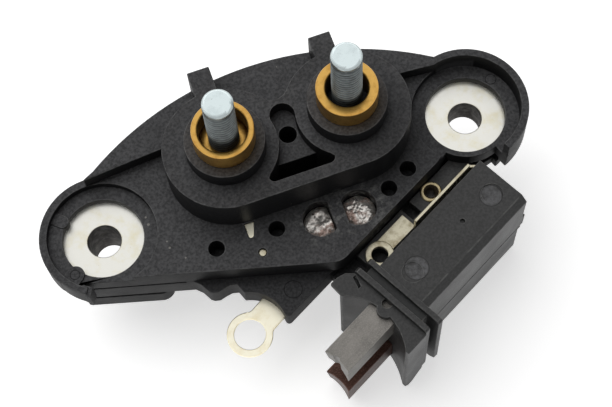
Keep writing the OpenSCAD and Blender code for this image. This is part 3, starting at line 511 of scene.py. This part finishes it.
def round_edges(bm, edges, radius, segments=2):
    """Rounds the edges, and marks the new faces so that they can look rubbed, and on plastic and carbon carry
    a painted highlight.
    """
    layer = bm.faces.layers.float.get("edge") or bm.faces.layers.float.new("edge")
    made = bmesh.ops.bevel(
        bm, geom=edges, offset=radius * MM, offset_type="OFFSET", segments=segments, profile=0.5,
        affect="EDGES", clamp_overlap=False, material=-1,
    )
    for face in made["faces"]:
        face[layer] = 1.0


def finish(bm, name, material, body, slot, *nodes, smooth=32, weighted=True):
    """Makes the object of a piece, hangs it on the body it rides on, and hides the CAD nodes it stands for.
    """
    bmesh.ops.recalc_face_normals(bm, faces=bm.faces)
    mesh = bpy.data.meshes.new(name)
    bm.to_mesh(mesh)
    bm.free()
    mesh.shade_smooth()
    mesh.set_sharp_from_angle(angle=math.radians(smooth))
    piece = bpy.data.objects.new(name, mesh)
    bpy.context.scene.collection.objects.link(piece)
    mesh.materials.append(material)
    if weighted:
        even = piece.modifiers.new("even_normals", "WEIGHTED_NORMAL")
        even.keep_sharp = True
    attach(piece, body)
    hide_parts(*nodes)
    return piece


def rounded_piece(node, name, radius, material, body, slot, segments=2, shape=None):
    """A CAD node with its edges rounded as the mould or the press leaves them, once shape has reworked it."""
    bm = merged_copy(node)
    if shape:
        shape(bm)
    round_edges(bm, sharp_edges(bm), radius, segments)
    return finish(bm, name, material, body, slot, node)


def inside(value, span):
    return span[0] < value < span[1]


def facing(lean):
    """How far a face looks one way, from 0 for a wall to 1 for a flat top."""
    return min(max((lean - 0.3) / 0.6, 0), 1)


def mark_painted_top_light(bm):
    """Marks where painted light lightens a face: fully on top, less underneath, and hardly in the pocket or
    between the flanges, which keep painted shade instead.
    """
    bm.normal_update()
    along = Vector(on_holder(1, 0)) / MM
    layer = bm.faces.layers.float.new("painted_top_light")
    for face in bm.faces:
        middle = face.calc_center_median() / MM
        in_pocket = inside(middle.x, POCKET_X) and inside(middle.y, POCKET_Y) and middle.z < POCKET_TOP_Z
        in_gap = inside(middle.dot(along), FLANGE_GAP_U) and inside(middle.z, FLANGE_GAP_Z)
        above = facing(face.normal.z) * (SHADED_SHARE_OF_TOP_LIGHT if in_pocket or in_gap else 1)
        below = facing(-face.normal.z) * UNDERSIDE_SHARE_OF_TOP_LIGHT
        face[layer] = max(above, below)


def moulding(node, name, radius, material, slot, shape=None):
    """A moulded part, with rounded edges and its painted top light marked."""
    bm = merged_copy(node)
    if shape:
        shape(bm)
    round_edges(bm, sharp_edges(bm), radius)
    mark_painted_top_light(bm)
    return finish(bm, name, material, "regulator", slot, node)


def on_plan(x, y):
    """A place on the plan, in mm, for a mark."""
    return (x * MM, y * MM, 0.0)


def on_holder(u, v):
    """A place in the holder's own directions, along and across the brushes, in mm."""
    return tuple(Matrix.Rotation(HOLDER_TURN, 3, "Z") @ Vector((u, v, 0)) * MM)


def centre_of(node):
    """The middle of a CAD node's box."""
    low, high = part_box(node)
    return (low + high) / 2


def turned_shape(bm, centre, profile, steps=96):
    """Spins a closed profile of (radius, height) points, in mm, about an upright axis."""
    points = [bm.verts.new(Vector((centre.x + r * MM, centre.y, z * MM))) for r, z in profile]
    edges = [bm.edges.new((points[i], points[(i + 1) % len(points)])) for i in range(len(points))]
    bmesh.ops.spin(
        bm, geom=points + edges, cent=(centre.x, centre.y, 0), axis=UP, dvec=(0, 0, 0),
        angle=math.tau, steps=steps, use_merge=True,
    )
    bmesh.ops.recalc_face_normals(bm, faces=bm.faces)


def paint_bore_shade(bm, centre, radius):
    """Marks the faces within a radius, in mm, of an upright axis, for painted shade down a bore."""
    layer = bm.faces.layers.float.new("dark")
    for face in bm.faces:
        middle = face.calc_center_median() - centre
        face[layer] = float(middle.xy.length < radius * MM)


def turned_piece(node, name, profile, radius, material, slot, steps=96, segments=3, shade_to=0):
    """A turned part with rounded edges. Its bore gets painted shade out to the radius given as its last
    argument.
    """
    bm = bmesh.new()
    turned_shape(bm, centre_of(node), profile, steps)
    round_edges(bm, sharp_edges(bm, 35), radius, segments)
    paint_bore_shade(bm, centre_of(node), shade_to)
    return finish(bm, name, material, "regulator", slot, node)


def boundary_at(bm, height, reach=0.05):
    """The open edges at one height, in mm."""
    return [
        edge for edge in bm.edges
        if edge.is_boundary and all(abs(v.co.z - height * MM) < reach * MM for v in edge.verts)
    ]


# Studs

THREAD_R = 2.5
THREAD_ROOT_R = 2.34
THREAD_ROW = ((THREAD_ROOT_R, 0), (THREAD_ROOT_R, 0.16), (THREAD_R, 0.43), (THREAD_R, 0.53))
THREAD_STEPS = 40
THREAD_SAME_POINT = 0.004 * MM
PITCH = 0.8
SHANK_R = 2.2
SHANK_CLEARANCE = 0.3
SEAT_Z = 14.4
HEAD_R = 4 / math.cos(math.radians(30))
HEAD_Z = (-1.4, 1.2)
HEAD_ROUNDING = 0.25
POINT_H = 0.6
FADE_H = 1.3
FADE_RUN = 0.5
THREAD_END_R = THREAD_R - 0.06
HEAD_SINK = 0.1
# Shares of painted shade and painted dark reflection on each part of the stud.
POINT_BEVEL_SHADE = 0.4
THREAD_SHADE = 0.8
GROOVE_SHADE = 0.2
SHANK_SHADE = 0.6


def thread_shape(bm, centre, start, top):
    """One full-turn spin of a row of threads, which then meet each other and close up."""
    row = []
    for turn in range(int((top - start) / PITCH) + 4):
        foot = start - 2 * PITCH + turn * PITCH
        row += [(radius, foot + rise) for radius, rise in THREAD_ROW]
    points = [bm.verts.new(Vector((centre.x + r * MM, centre.y, z * MM))) for r, z in row]
    edges = [bm.edges.new(pair) for pair in zip(points, points[1:])]
    bmesh.ops.spin(
        bm, geom=points + edges, cent=(centre.x, centre.y, 0), axis=UP, angle=math.tau,
        dvec=(0, 0, PITCH * MM / THREAD_STEPS), steps=THREAD_STEPS, use_merge=False,
    )
    bmesh.ops.remove_doubles(bm, verts=bm.verts, dist=THREAD_SAME_POINT)
    for height, outer in ((top, True), (start, False)):
        bmesh.ops.bisect_plane(
            bm, geom=whole(bm), plane_co=(0, 0, height * MM), plane_no=UP,
            clear_outer=outer, clear_inner=not outer,
        )
    bmesh.ops.bisect_plane(bm, geom=whole(bm), plane_co=(0, 0, (top - POINT_H) * MM), plane_no=UP)


def limit_radius(verts, centre, limit):
    """Holds each vertex between the least and greatest radius at its height, both in mm."""
    for vert in verts:
        out = Vector((vert.co.x - centre.x, vert.co.y - centre.y))
        least, most = limit(vert.co.z / MM)
        radius = min(max(out.length / MM, least), most) * MM
        out = out.normalized() * radius
        vert.co.x, vert.co.y = centre.x + out.x, centre.y + out.y


def hex_head(bm, centre):
    """The head under the plate, with its edges rounded."""
    height = HEAD_Z[1] - HEAD_Z[0]
    place = Matrix.Translation((centre.x, centre.y, sum(HEAD_Z) / 2 * MM))
    head = bmesh.ops.create_cone(
        bm, cap_ends=True, segments=6, radius1=HEAD_R * MM, radius2=HEAD_R * MM, depth=height * MM,
        matrix=place @ Matrix.Rotation(math.pi / 2, 4, "Z"),
    )["verts"]
    round_edges(bm, list({edge for vert in head for edge in vert.link_edges}), HEAD_ROUNDING)


def paint_thread_shade(bm, centre, top):
    """Marks painted shade and painted dark reflection on the stud: most on the thread, deepest in its
    grooves, less on the shank, less again on the bevel at the end, and none on the end face.
    """
    layer = bm.verts.layers.float.new("dark")
    for vert in bm.verts:
        below = top - vert.co.z / MM
        groove = (THREAD_R - (vert.co - centre).xy.length / MM) / (THREAD_R - THREAD_ROOT_R)
        if below < POINT_H / 2:
            vert[layer] = 0
        elif below < POINT_H + FADE_H / 2:
            vert[layer] = POINT_BEVEL_SHADE
        elif vert.co.z > (SEAT_Z - SHANK_CLEARANCE / 2) * MM:
            vert[layer] = THREAD_SHADE + GROOVE_SHADE * min(groove, 1)
        else:
            vert[layer] = SHANK_SHADE


def terminal_stud(node, name, material):
    """An M5 stud: hex head under the plate, plain shank, rolled thread and turned point."""
    centre = centre_of(node)
    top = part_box(node)[1].z / MM
    bm = bmesh.new()
    thread_shape(bm, centre, SEAT_Z, top)

    def turned_end(height):
        fade = min(max((height - (top - POINT_H - FADE_H)) / FADE_RUN, 0), 1)
        least = THREAD_ROOT_R + fade * (THREAD_END_R - THREAD_ROOT_R)
        most = THREAD_R - max(0, height - (top - POINT_H))
        return min(least, most), most

    limit_radius(bm.verts, centre, turned_end)
    bmesh.ops.holes_fill(bm, edges=boundary_at(bm, top))
    for height in (SEAT_Z - SHANK_CLEARANCE, HEAD_Z[1] - HEAD_SINK):
        made = bmesh.ops.extrude_edge_only(bm, edges=open_edges(bm))["geom"]
        ring = [item for item in made if isinstance(item, bmesh.types.BMVert)]
        for vert in ring:
            vert.co.z = height * MM
        limit_radius(ring, centre, lambda z: (SHANK_R, SHANK_R))
    bmesh.ops.holes_fill(bm, edges=open_edges(bm))
    hex_head(bm, centre)
    paint_thread_shade(bm, centre, top)
    return finish(bm, name, material, "regulator", "zinc_stud", node, smooth=24, weighted=False)


# Turned and pressed metal

BORE_MARGIN = 0.05
BUSH_BORE_R = 2.8
BUSH_SLEEVE_R = 4
BUSH_FLANGE_R = 7.5
BUSH_FLANGE_T = 1
COLLAR_R = 5.05
COLLAR_Z = (14, 18.2)
SPIGOT_R = 4.6
SPIGOT_Z = 12.2


def mounting_bush(node, name, under, material):
    """A flanged steel sleeve in an ear, which reaches down to the height under."""
    profile = [
        (BUSH_BORE_R, under), (BUSH_SLEEVE_R, under), (BUSH_SLEEVE_R, -BUSH_FLANGE_T),
        (BUSH_FLANGE_R, -BUSH_FLANGE_T), (BUSH_FLANGE_R, 0), (BUSH_BORE_R, 0),
    ]
    return turned_piece(node, name, profile, 0.22, material, "tinned_bush", steps=120,
                        shade_to=BUSH_BORE_R + BORE_MARGIN)


def collar(node, name, bore, material):
    """A brass collar with a spigot in its boss and a rounded mouth."""
    profile = [
        (bore, SPIGOT_Z), (SPIGOT_R, SPIGOT_Z), (SPIGOT_R, COLLAR_Z[0]), (COLLAR_R, COLLAR_Z[0]),
        (COLLAR_R, COLLAR_Z[1]), (bore, COLLAR_Z[1]),
    ]
    return turned_piece(node, name, profile, 0.28, material, "brass_collar", shade_to=bore + BORE_MARGIN)


def inner_seat(material):
    """The brass seat down inside the left collar."""
    profile = [(2.2, 13.0), (4.0, 13.0), (4.0, 14.05), (3.5, 14.2), (2.2, 14.2)]
    return turned_piece("left_inner_seat", "brass_seat", profile, 0.12, material, "brass_collar")


def hollow_rivet(material):
    """A tubular rivet with both ends rolled over."""
    profile = [
        (0.8, -6.45), (1.35, -6.45), (1.5, -6.3), (1.5, -6.1), (1.1, -6.1), (1.1, -1.4),
        (1.8, -1.4), (1.85, -1.25), (1.65, -1.05), (1.3, -1.05), (1.0, -1.4), (0.8, -2.4),
    ]
    return turned_piece("hollow_rivet", "tube_rivet", profile, 0.06, material, "tinned_rivet", steps=64,
                        segments=2, shade_to=1.25)


# Solder

WINDOW_R = 2.9
SOLDER_R = 2.88
SOLDER_RINGS = 22
SOLDER_STEPS = 96
SOLDER_SAME_POINT = 0.003 * MM
SOLDER_H = 1.25
SOLDER_TOP = 1.5
SOLDER_RIM_FALL = 0.7
SOLDER_LUMPS = 0.22
SOLDER_LEAN = 0.1
FLAT_CLEARANCE = 0.05


def solder_joint(node, name, flat_side, material, peak, ripple):
    """A mound of solder, wetted up to its window, with a flat where the window is cut off."""
    low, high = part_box(node)
    flat_at, round_at = (high.x, low.x) if flat_side > 0 else (low.x, high.x)
    middle = Vector((round_at + flat_side * WINDOW_R * MM, (low.y + high.y) / 2, 0))
    bm = bmesh.new()
    spokes = [
        bm.verts.new(middle + Vector((SOLDER_R * MM * ring / SOLDER_RINGS, 0, 0)))
        for ring in range(SOLDER_RINGS + 1)
    ]
    edges = [bm.edges.new(pair) for pair in zip(spokes, spokes[1:])]
    bmesh.ops.spin(
        bm, geom=spokes + edges, cent=middle, axis=UP, dvec=(0, 0, 0), angle=math.tau, steps=SOLDER_STEPS,
        use_merge=True,
    )
    bmesh.ops.remove_doubles(bm, verts=bm.verts, dist=SOLDER_SAME_POINT)
    bmesh.ops.bisect_plane(
        bm, geom=whole(bm), plane_co=(flat_at - flat_side * FLAT_CLEARANCE * MM, 0, 0),
        plane_no=(flat_side, 0, 0), clear_outer=True,
    )
    for vert in bm.verts:
        out = (vert.co - middle).length / (SOLDER_R * MM)
        spot = (vert.co - middle) / MM
        lumps = SOLDER_LUMPS * noise.fractal(spot * 0.6 + Vector((peak, 3, 7)), 1.0, 2.0, 2)
        ripples = ripple * noise.noise(spot * 2.4 + Vector((2, peak, 5)))
        lean = SOLDER_LEAN * spot.x * flat_side * (1 - out ** 3)
        vert.co.z = min(SOLDER_H - SOLDER_RIM_FALL * out ** 4 + lumps + ripples + lean, SOLDER_TOP) * MM
    made = bmesh.ops.extrude_edge_only(bm, edges=open_edges(bm))["geom"]
    for item in made:
        if isinstance(item, bmesh.types.BMVert):
            item.co.z = low.z
    bmesh.ops.holes_fill(bm, edges=open_edges(bm))
    return finish(bm, name, material, "regulator", "solder", node, smooth=50, weighted=False)


# Brushes

BRUSH_FACE_DEPTH = 2
BRUSH_W = 5.1
CORNER_WEAR = 0.75
CORNER_H = 0.5


def worn_corner(bm):
    """Wears the running face back at its lower left, where the brush has run askew."""
    along, across = Vector(on_holder(1, 0)) / MM, Vector(on_holder(0, 1)) / MM
    low = min(vert.co.z for vert in bm.verts)
    tip = min(vert.co.dot(along) for vert in bm.verts)
    left = max(vert.co.dot(across) for vert in bm.verts)
    for vert in bm.verts:
        behind = (vert.co.dot(along) - tip) / MM
        aside = (left - vert.co.dot(across)) / MM
        if vert.co.z < low + CORNER_H * MM and behind < BRUSH_FACE_DEPTH:
            vert.co += along * max(0, 1 - aside / BRUSH_W) * CORNER_WEAR * MM


# Springs and pigtails

BRUSH_REAR_U = 30.4
GUIDE_END_U = 49.5
TAB_U = 50.35
GUIDE_MID_V = -42.5
SPRING_R = 1.95
SPRING_WIRE_R = 0.25
STRANDS = 3
STRAND_R = 0.24
STRAND_TWIST_R = 0.25


def coiled_wire(bm, start, length, coil_r, wire_r, turns, steps, sides, phase=0.0):
    """Coils a round wire, in mm, about a line that runs along the brushes."""
    along = Vector(on_holder(1, 0)) / MM
    outward = Matrix.Rotation(phase, 3, along) @ UP
    turn = along.cross(outward).to_track_quat("Z", "Y").to_matrix().to_4x4()
    ring = bmesh.ops.create_circle(
        bm, cap_ends=False, segments=sides, radius=wire_r * MM,
        matrix=Matrix.Translation(start + outward * coil_r * MM) @ turn,
    )["verts"]
    edges = list({edge for vert in ring for edge in vert.link_edges})
    bmesh.ops.spin(
        bm, geom=ring + edges, cent=start, axis=along, dvec=along * length * MM / (turns * steps),
        angle=math.tau * turns, steps=turns * steps, use_merge=False,
    )
    bmesh.ops.holes_fill(bm, edges=open_edges(bm))


def on_guide(u, height):
    """A point on the middle line of a brush guide."""
    return Vector(on_holder(u, GUIDE_MID_V)) + UP * height * MM


def pressed_by(piece):
    """Gives the piece its own copy of its mesh."""
    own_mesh(piece)


def brush_spring(node, name, height, material):
    """A compression spring between the brush and the end of its guide."""
    bm = bmesh.new()
    length = GUIDE_END_U - BRUSH_REAR_U
    coiled_wire(bm, on_guide(BRUSH_REAR_U + SPRING_WIRE_R, height), length - 2 * SPRING_WIRE_R, SPRING_R,
                SPRING_WIRE_R, turns=7, steps=28, sides=8)
    piece = finish(bm, name, material, "regulator", "spring_wire", node, smooth=60, weighted=False)
    pressed_by(piece)


def pigtail(node, name, height, material):
    """Three strands of bare copper, twisted into a lead."""
    bm = bmesh.new()
    length = TAB_U - BRUSH_REAR_U
    for strand in range(STRANDS):
        coiled_wire(bm, on_guide(BRUSH_REAR_U, height), length, STRAND_TWIST_R, STRAND_R, turns=8, steps=14,
                    sides=8, phase=strand * math.tau / STRANDS)
    piece = finish(bm, name, material, "regulator", "copper_braid", node, smooth=60, weighted=False)
    pressed_by(piece)


# Sheet metal

PIN_REACH = 0.05
PIN_LEFT_SHIFT = 0.1
PIN_RIGHT_SHIFT = -0.9
PIN_CORNER_R = 0.34
NECK_FILLET_R = 0.9


def shield_outline(bm):
    """Narrows the front of the flat pin, or of its slot in the plate, to a blunt point with round corners."""
    low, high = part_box("flat_pin")
    reach = PIN_REACH * MM

    def at_front(vert):
        return low.x - reach < vert.co.x < high.x + reach and abs(vert.co.y - low.y) < reach

    for vert in filter(at_front, bm.verts):
        vert.co.x += (PIN_LEFT_SHIFT if vert.co.x < (low.x + high.x) / 2 else PIN_RIGHT_SHIFT) * MM
    corners = [edge for edge in bm.edges if all(map(at_front, edge.verts)) and upright(edge)]
    bevel_corners(bm, corners, PIN_CORNER_R, 4)


def fillet_neck(bm):
    """Fillets the two inner corners where the neck runs into the ring."""
    corners = [edge for edge in bm.edges if not edge.is_convex and turns_by(edge, 25) and upright(edge)]
    bevel_corners(bm, corners, NECK_FILLET_R, 5)


# Brush lead strip

STRIP_EDGE_V = -34
STRIP_START_U = 30.5
STRIP_UNDER_Z = -2.2
STRIP_EXTRA = 0.4
EYELET = (29, -35.2)
BOX_SIDE_V = -37.15


def eyelet_crown(across):
    """The pressed crown round the eyelet, cut off where it meets the side of the box."""
    bm = bmesh.new()
    profile = [
        (1.36, -0.84), (2.3, -0.84), (2.45, -0.72), (2.3, -0.56), (1.8, -0.5), (1.45, -0.54), (1.36, -0.64),
    ]
    turned_shape(bm, Vector(on_holder(*EYELET)), profile, 72)
    bmesh.ops.bisect_plane(
        bm, geom=whole(bm), plane_co=across * BOX_SIDE_V * MM, plane_no=-across, clear_outer=True,
    )
    bmesh.ops.holes_fill(bm, edges=open_edges(bm))
    mesh = bpy.data.meshes.new("crown")
    bm.to_mesh(mesh)
    bm.free()
    return mesh


def lead_strip(material):
    """The folded strip: rounded sheet, a little wider than the CAD one, with a crown round its eyelet."""
    bm = merged_copy("brush_lead_strip")
    across = Vector(on_holder(0, 1)) / MM
    along = Vector(on_holder(1, 0)) / MM
    for vert in bm.verts:
        u, v = vert.co.dot(along) / MM, vert.co.dot(across) / MM
        if vert.co.z > STRIP_UNDER_Z * MM and v > STRIP_EDGE_V and u > STRIP_START_U:
            vert.co += across * STRIP_EXTRA * MM
    round_edges(bm, sharp_edges(bm), 0.1)
    crown = eyelet_crown(across)
    bm.from_mesh(crown)
    bpy.data.meshes.remove(crown)
    return finish(bm, "lead_strip", material, "regulator", "tinned_sheet", "brush_lead_strip")


# Light and floor

ROOM_LIGHT = 0.08
FLOOR_LIFT = 0.62
FLOOR_GAP = 0.03 * MM
FLOOR_HALF_WIDTH = 1.6
LAMP_PLACE = (-0.14, 0.3, 0.6)
LAMP_AIM = (0.03, -0.01, 0)
LAMP_SIZE = 0.8
LAMP_POWER = 5


def white_room():
    """White surroundings: seen by the camera and in reflections, and softer as light."""
    world = bpy.data.worlds.new("white_room")
    bpy.context.scene.world = world
    world.use_nodes = True
    tree = world.node_tree
    sky = tree.nodes["Background"]
    sky.inputs["Color"].default_value = (1, 1, 1, 1)
    tree.links.new(between(tree, seen_white(tree), 0, 1, ROOM_LIGHT, 1), sky.inputs["Strength"])


def pale_floor():
    """A pale floor that looks white, keeps the object's soft shadow, and is open to a view from below."""
    bm = bmesh.new()
    bmesh.ops.create_grid(bm, x_segments=8, y_segments=8, size=FLOOR_HALF_WIDTH)
    for vert in bm.verts:
        vert.co.z = cad_box[0][2] - FLOOR_GAP
    mesh = bpy.data.meshes.new("floor")
    bm.to_mesh(mesh)
    bm.free()
    floor = bpy.data.objects.new("floor", mesh)
    bpy.context.scene.collection.objects.link(floor)
    material, tree, shader = new_material("pale_floor", Roughness=0.9)
    shader["Base Color"].default_value = (0.82, 0.82, 0.82, 1)
    shader["Emission Color"].default_value = (1, 1, 1, 1)
    tree.links.new(maths(tree, "MULTIPLY", seen_white(tree), FLOOR_LIFT), shader["Emission Strength"])
    from_below = put(tree, "ShaderNodeNewGeometry").outputs["Backfacing"]
    solid_side = tree.nodes["Principled BSDF"].outputs["BSDF"]
    open_side = put(tree, "ShaderNodeBsdfTransparent").outputs["BSDF"]
    shown = put(tree, "ShaderNodeMixShader", {0: from_below, 1: solid_side, 2: open_side})
    tree.links.new(shown.outputs["Shader"], tree.nodes["Material Output"].inputs["Surface"])
    mesh.materials.append(material)


def soft_lamp():
    """One wide lamp behind and above, which doesn't show in the gloss."""
    lamp = bpy.data.lights.new("key_lamp", "AREA")
    lamp.shape = "SQUARE"
    lamp.size = LAMP_SIZE
    lamp.energy = LAMP_POWER
    made = bpy.data.objects.new("key_lamp", lamp)
    made.location = LAMP_PLACE
    made.rotation_euler = (Vector(LAMP_AIM) - Vector(LAMP_PLACE)).to_track_quat("-Z", "Y").to_euler()
    made.visible_glossy = False
    bpy.context.scene.collection.objects.link(made)


bpy.context.scene.view_settings.view_transform = "Standard"
place_camera()
white_room()
pale_floor()
soft_lamp()

# Finishes

window_haze = [
    (tuple(centre_of("left_solder_joint")), 6.2 * MM, 0.4),
    (tuple(centre_of("right_solder_joint")), 6.6 * MM, 0.5),
]
ear_marks = [(on_plan(-6.15, -4.65), 0.8 * MM, 0), (on_plan(70.45, 4.6), 0.9 * MM, 0.3)]
body_marks = [(on_plan(26.7, -18.2), 1.5 * MM, 0)]
box_marks = [(on_holder(48, -42.6), 1.9 * MM, 0.7), (on_holder(30.4, -41.9), 2 * MM, 0.8)]

# Each moulding's second colour is painted light on its upward faces; its third is the pale edge colour,
# partly rubbed wear and partly painted highlight.
upper_black = moulded_plastic(
    "upper_moulding", rgb(18, 18, 19), rgb(67, 67, 68), rgb(108, 108, 108), wear_and_highlight=0.6,
    residues=window_haze, marks=ear_marks,
)
lower_black = moulded_plastic(
    "lower_moulding", rgb(19, 19, 20), rgb(50, 50, 51), rgb(80, 80, 80), wear_and_highlight=0.45, marks=body_marks,
)
holder_black = moulded_plastic(
    "holder_moulding", rgb(20, 21, 21), rgb(47, 47, 47), rgb(104, 104, 102), roughness=0.45, wear_and_highlight=0.6,
    marks=box_marks, gloss=0.4,
)
tinned_bush = plated_metal(
    "tinned_bush", rgb(233, 232, 225), rgb(224, 216, 180), roughness=0.34, patch=300.0, stain=0.6,
    shade_colour=rgb(38, 30, 24),
)
tinned_sheet = plated_metal(
    "tinned_sheet", rgb(250, 245, 224), rgb(232, 219, 182), roughness=0.42, patch=420.0, stain=0.6,
)
dull_tin = plated_metal(
    "dull_tin", rgb(204, 198, 176), rgb(142, 129, 98), roughness=0.4, patch=420.0, stain=0.9,
)
tinned_rivet = plated_metal(
    "tinned_rivet", rgb(190, 176, 140), rgb(120, 98, 62), roughness=0.4, patch=900.0, stain=0.8,
)
# The zinc's shade colour is painted shade and painted dark reflection on the stud's sides.
zinc = plated_metal(
    "zinc_stud", rgb(218, 230, 231), rgb(180, 192, 194), roughness=0.2, patch=500.0, stain=0.35,
    stretch=(0.6, 0.6, 2.6), lines=0.15, shade_colour=rgb(62, 66, 67),
)
brass = plated_metal(
    "brass_collar", rgb(212, 168, 90), rgb(158, 110, 46), roughness=0.3, patch=700.0, stain=0.6,
    stretch=(0.5, 0.5, 3.0), lines=0.3, shade_colour=rgb(70, 48, 22),
)
solder = fluxed_solder("solder")
grey_carbon = pressed_carbon(
    "grey_carbon", rgb(142, 138, 133), rgb(174, 171, 164), rgb(113, 110, 106), roughness=0.48, glint=0.35,
    gloss=0.4,
)
copper_graphite = pressed_carbon(
    "copper_graphite", rgb(84, 60, 52), rgb(138, 104, 93), rgb(54, 38, 33), roughness=0.4, glint=0.15,
    gloss=0.15,
)

CAD_FINISHES = {
    "heat_sink_plate": plain_finish("heat_sink", rgb(196, 198, 200), rgb(176, 178, 180), 0.4, 1.0),
    "circuit_board": plain_finish("board", rgb(228, 224, 212), rgb(214, 208, 192), 0.6),
    "regulator_chip": plain_finish("chip", rgb(52, 52, 54), rgb(64, 64, 66), 0.5),
    "potting": plain_finish("potting", rgb(112, 128, 134), rgb(96, 112, 120), 0.3),
    "left_lead_frame": dull_tin,
    "right_lead_frame": dull_tin,
    "lower_brush_lead": dull_tin,
}
spring_wire = plain_finish("spring_wire", rgb(170, 174, 178), rgb(140, 144, 148), 0.32, 1.0, 900.0)
copper_braid = twisted_copper("copper_braid")

for node, material in CAD_FINISHES.items():
    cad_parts[node].data.materials.clear()
    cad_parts[node].data.materials.append(material)

# Pieces

moulding("stud_plate", "stud_plate_moulding", 0.16, upper_black, "upper_moulding", shield_outline)
moulding("regulator_body", "body_moulding", 0.14, lower_black, "lower_moulding")
moulding("regulator_cover", "cover_moulding", 0.14, lower_black, "lower_moulding")
moulding("brush_holder", "holder_moulding", 0.14, holder_black, "holder_moulding")
rounded_piece("ring_terminal", "ring_tongue", 0.2, tinned_sheet, "regulator", "tinned_sheet", 3, fillet_neck)
rounded_piece("upper_brush", "grey_brush", 0.1, grey_carbon, "upper_brush", "grey_carbon", shape=worn_corner)
rounded_piece("lower_brush", "copper_brush", 0.16, copper_graphite, "lower_brush", "copper_graphite", 3,
              worn_corner)
for side, height in (("upper", -1.9), ("lower", -14.3)):
    brush_spring(side + "_spring", side + "_brush_spring", height, spring_wire)
    pigtail(side + "_pigtail", side + "_brush_pigtail", height, copper_braid)
lead_strip(dull_tin)
terminal_stud("left_stud", "left_terminal_stud", zinc)
terminal_stud("right_stud", "right_terminal_stud", zinc)
mounting_bush("left_mount_bush", "left_bush", -10.3, tinned_bush)
mounting_bush("right_mount_bush", "right_bush", -6.1, tinned_bush)
collar("left_collar", "left_brass_collar", 4.0, brass)
collar("right_collar", "right_brass_collar", 3.45, brass)
inner_seat(brass)
hollow_rivet(tinned_rivet)
solder_joint("left_solder_joint", "left_solder", 1, solder, 1.3, 0.05)
solder_joint("right_solder_joint", "right_solder", -1, solder, 4.6, 0.14)
rounded_piece("flat_pin", "flat_pin_end", 0.2, tinned_sheet, "regulator", "tinned_sheet", 2, shield_outline)
rounded_piece("round_pin", "round_pin_end", 0.3, dull_tin, "regulator", "tinned_sheet", 4)
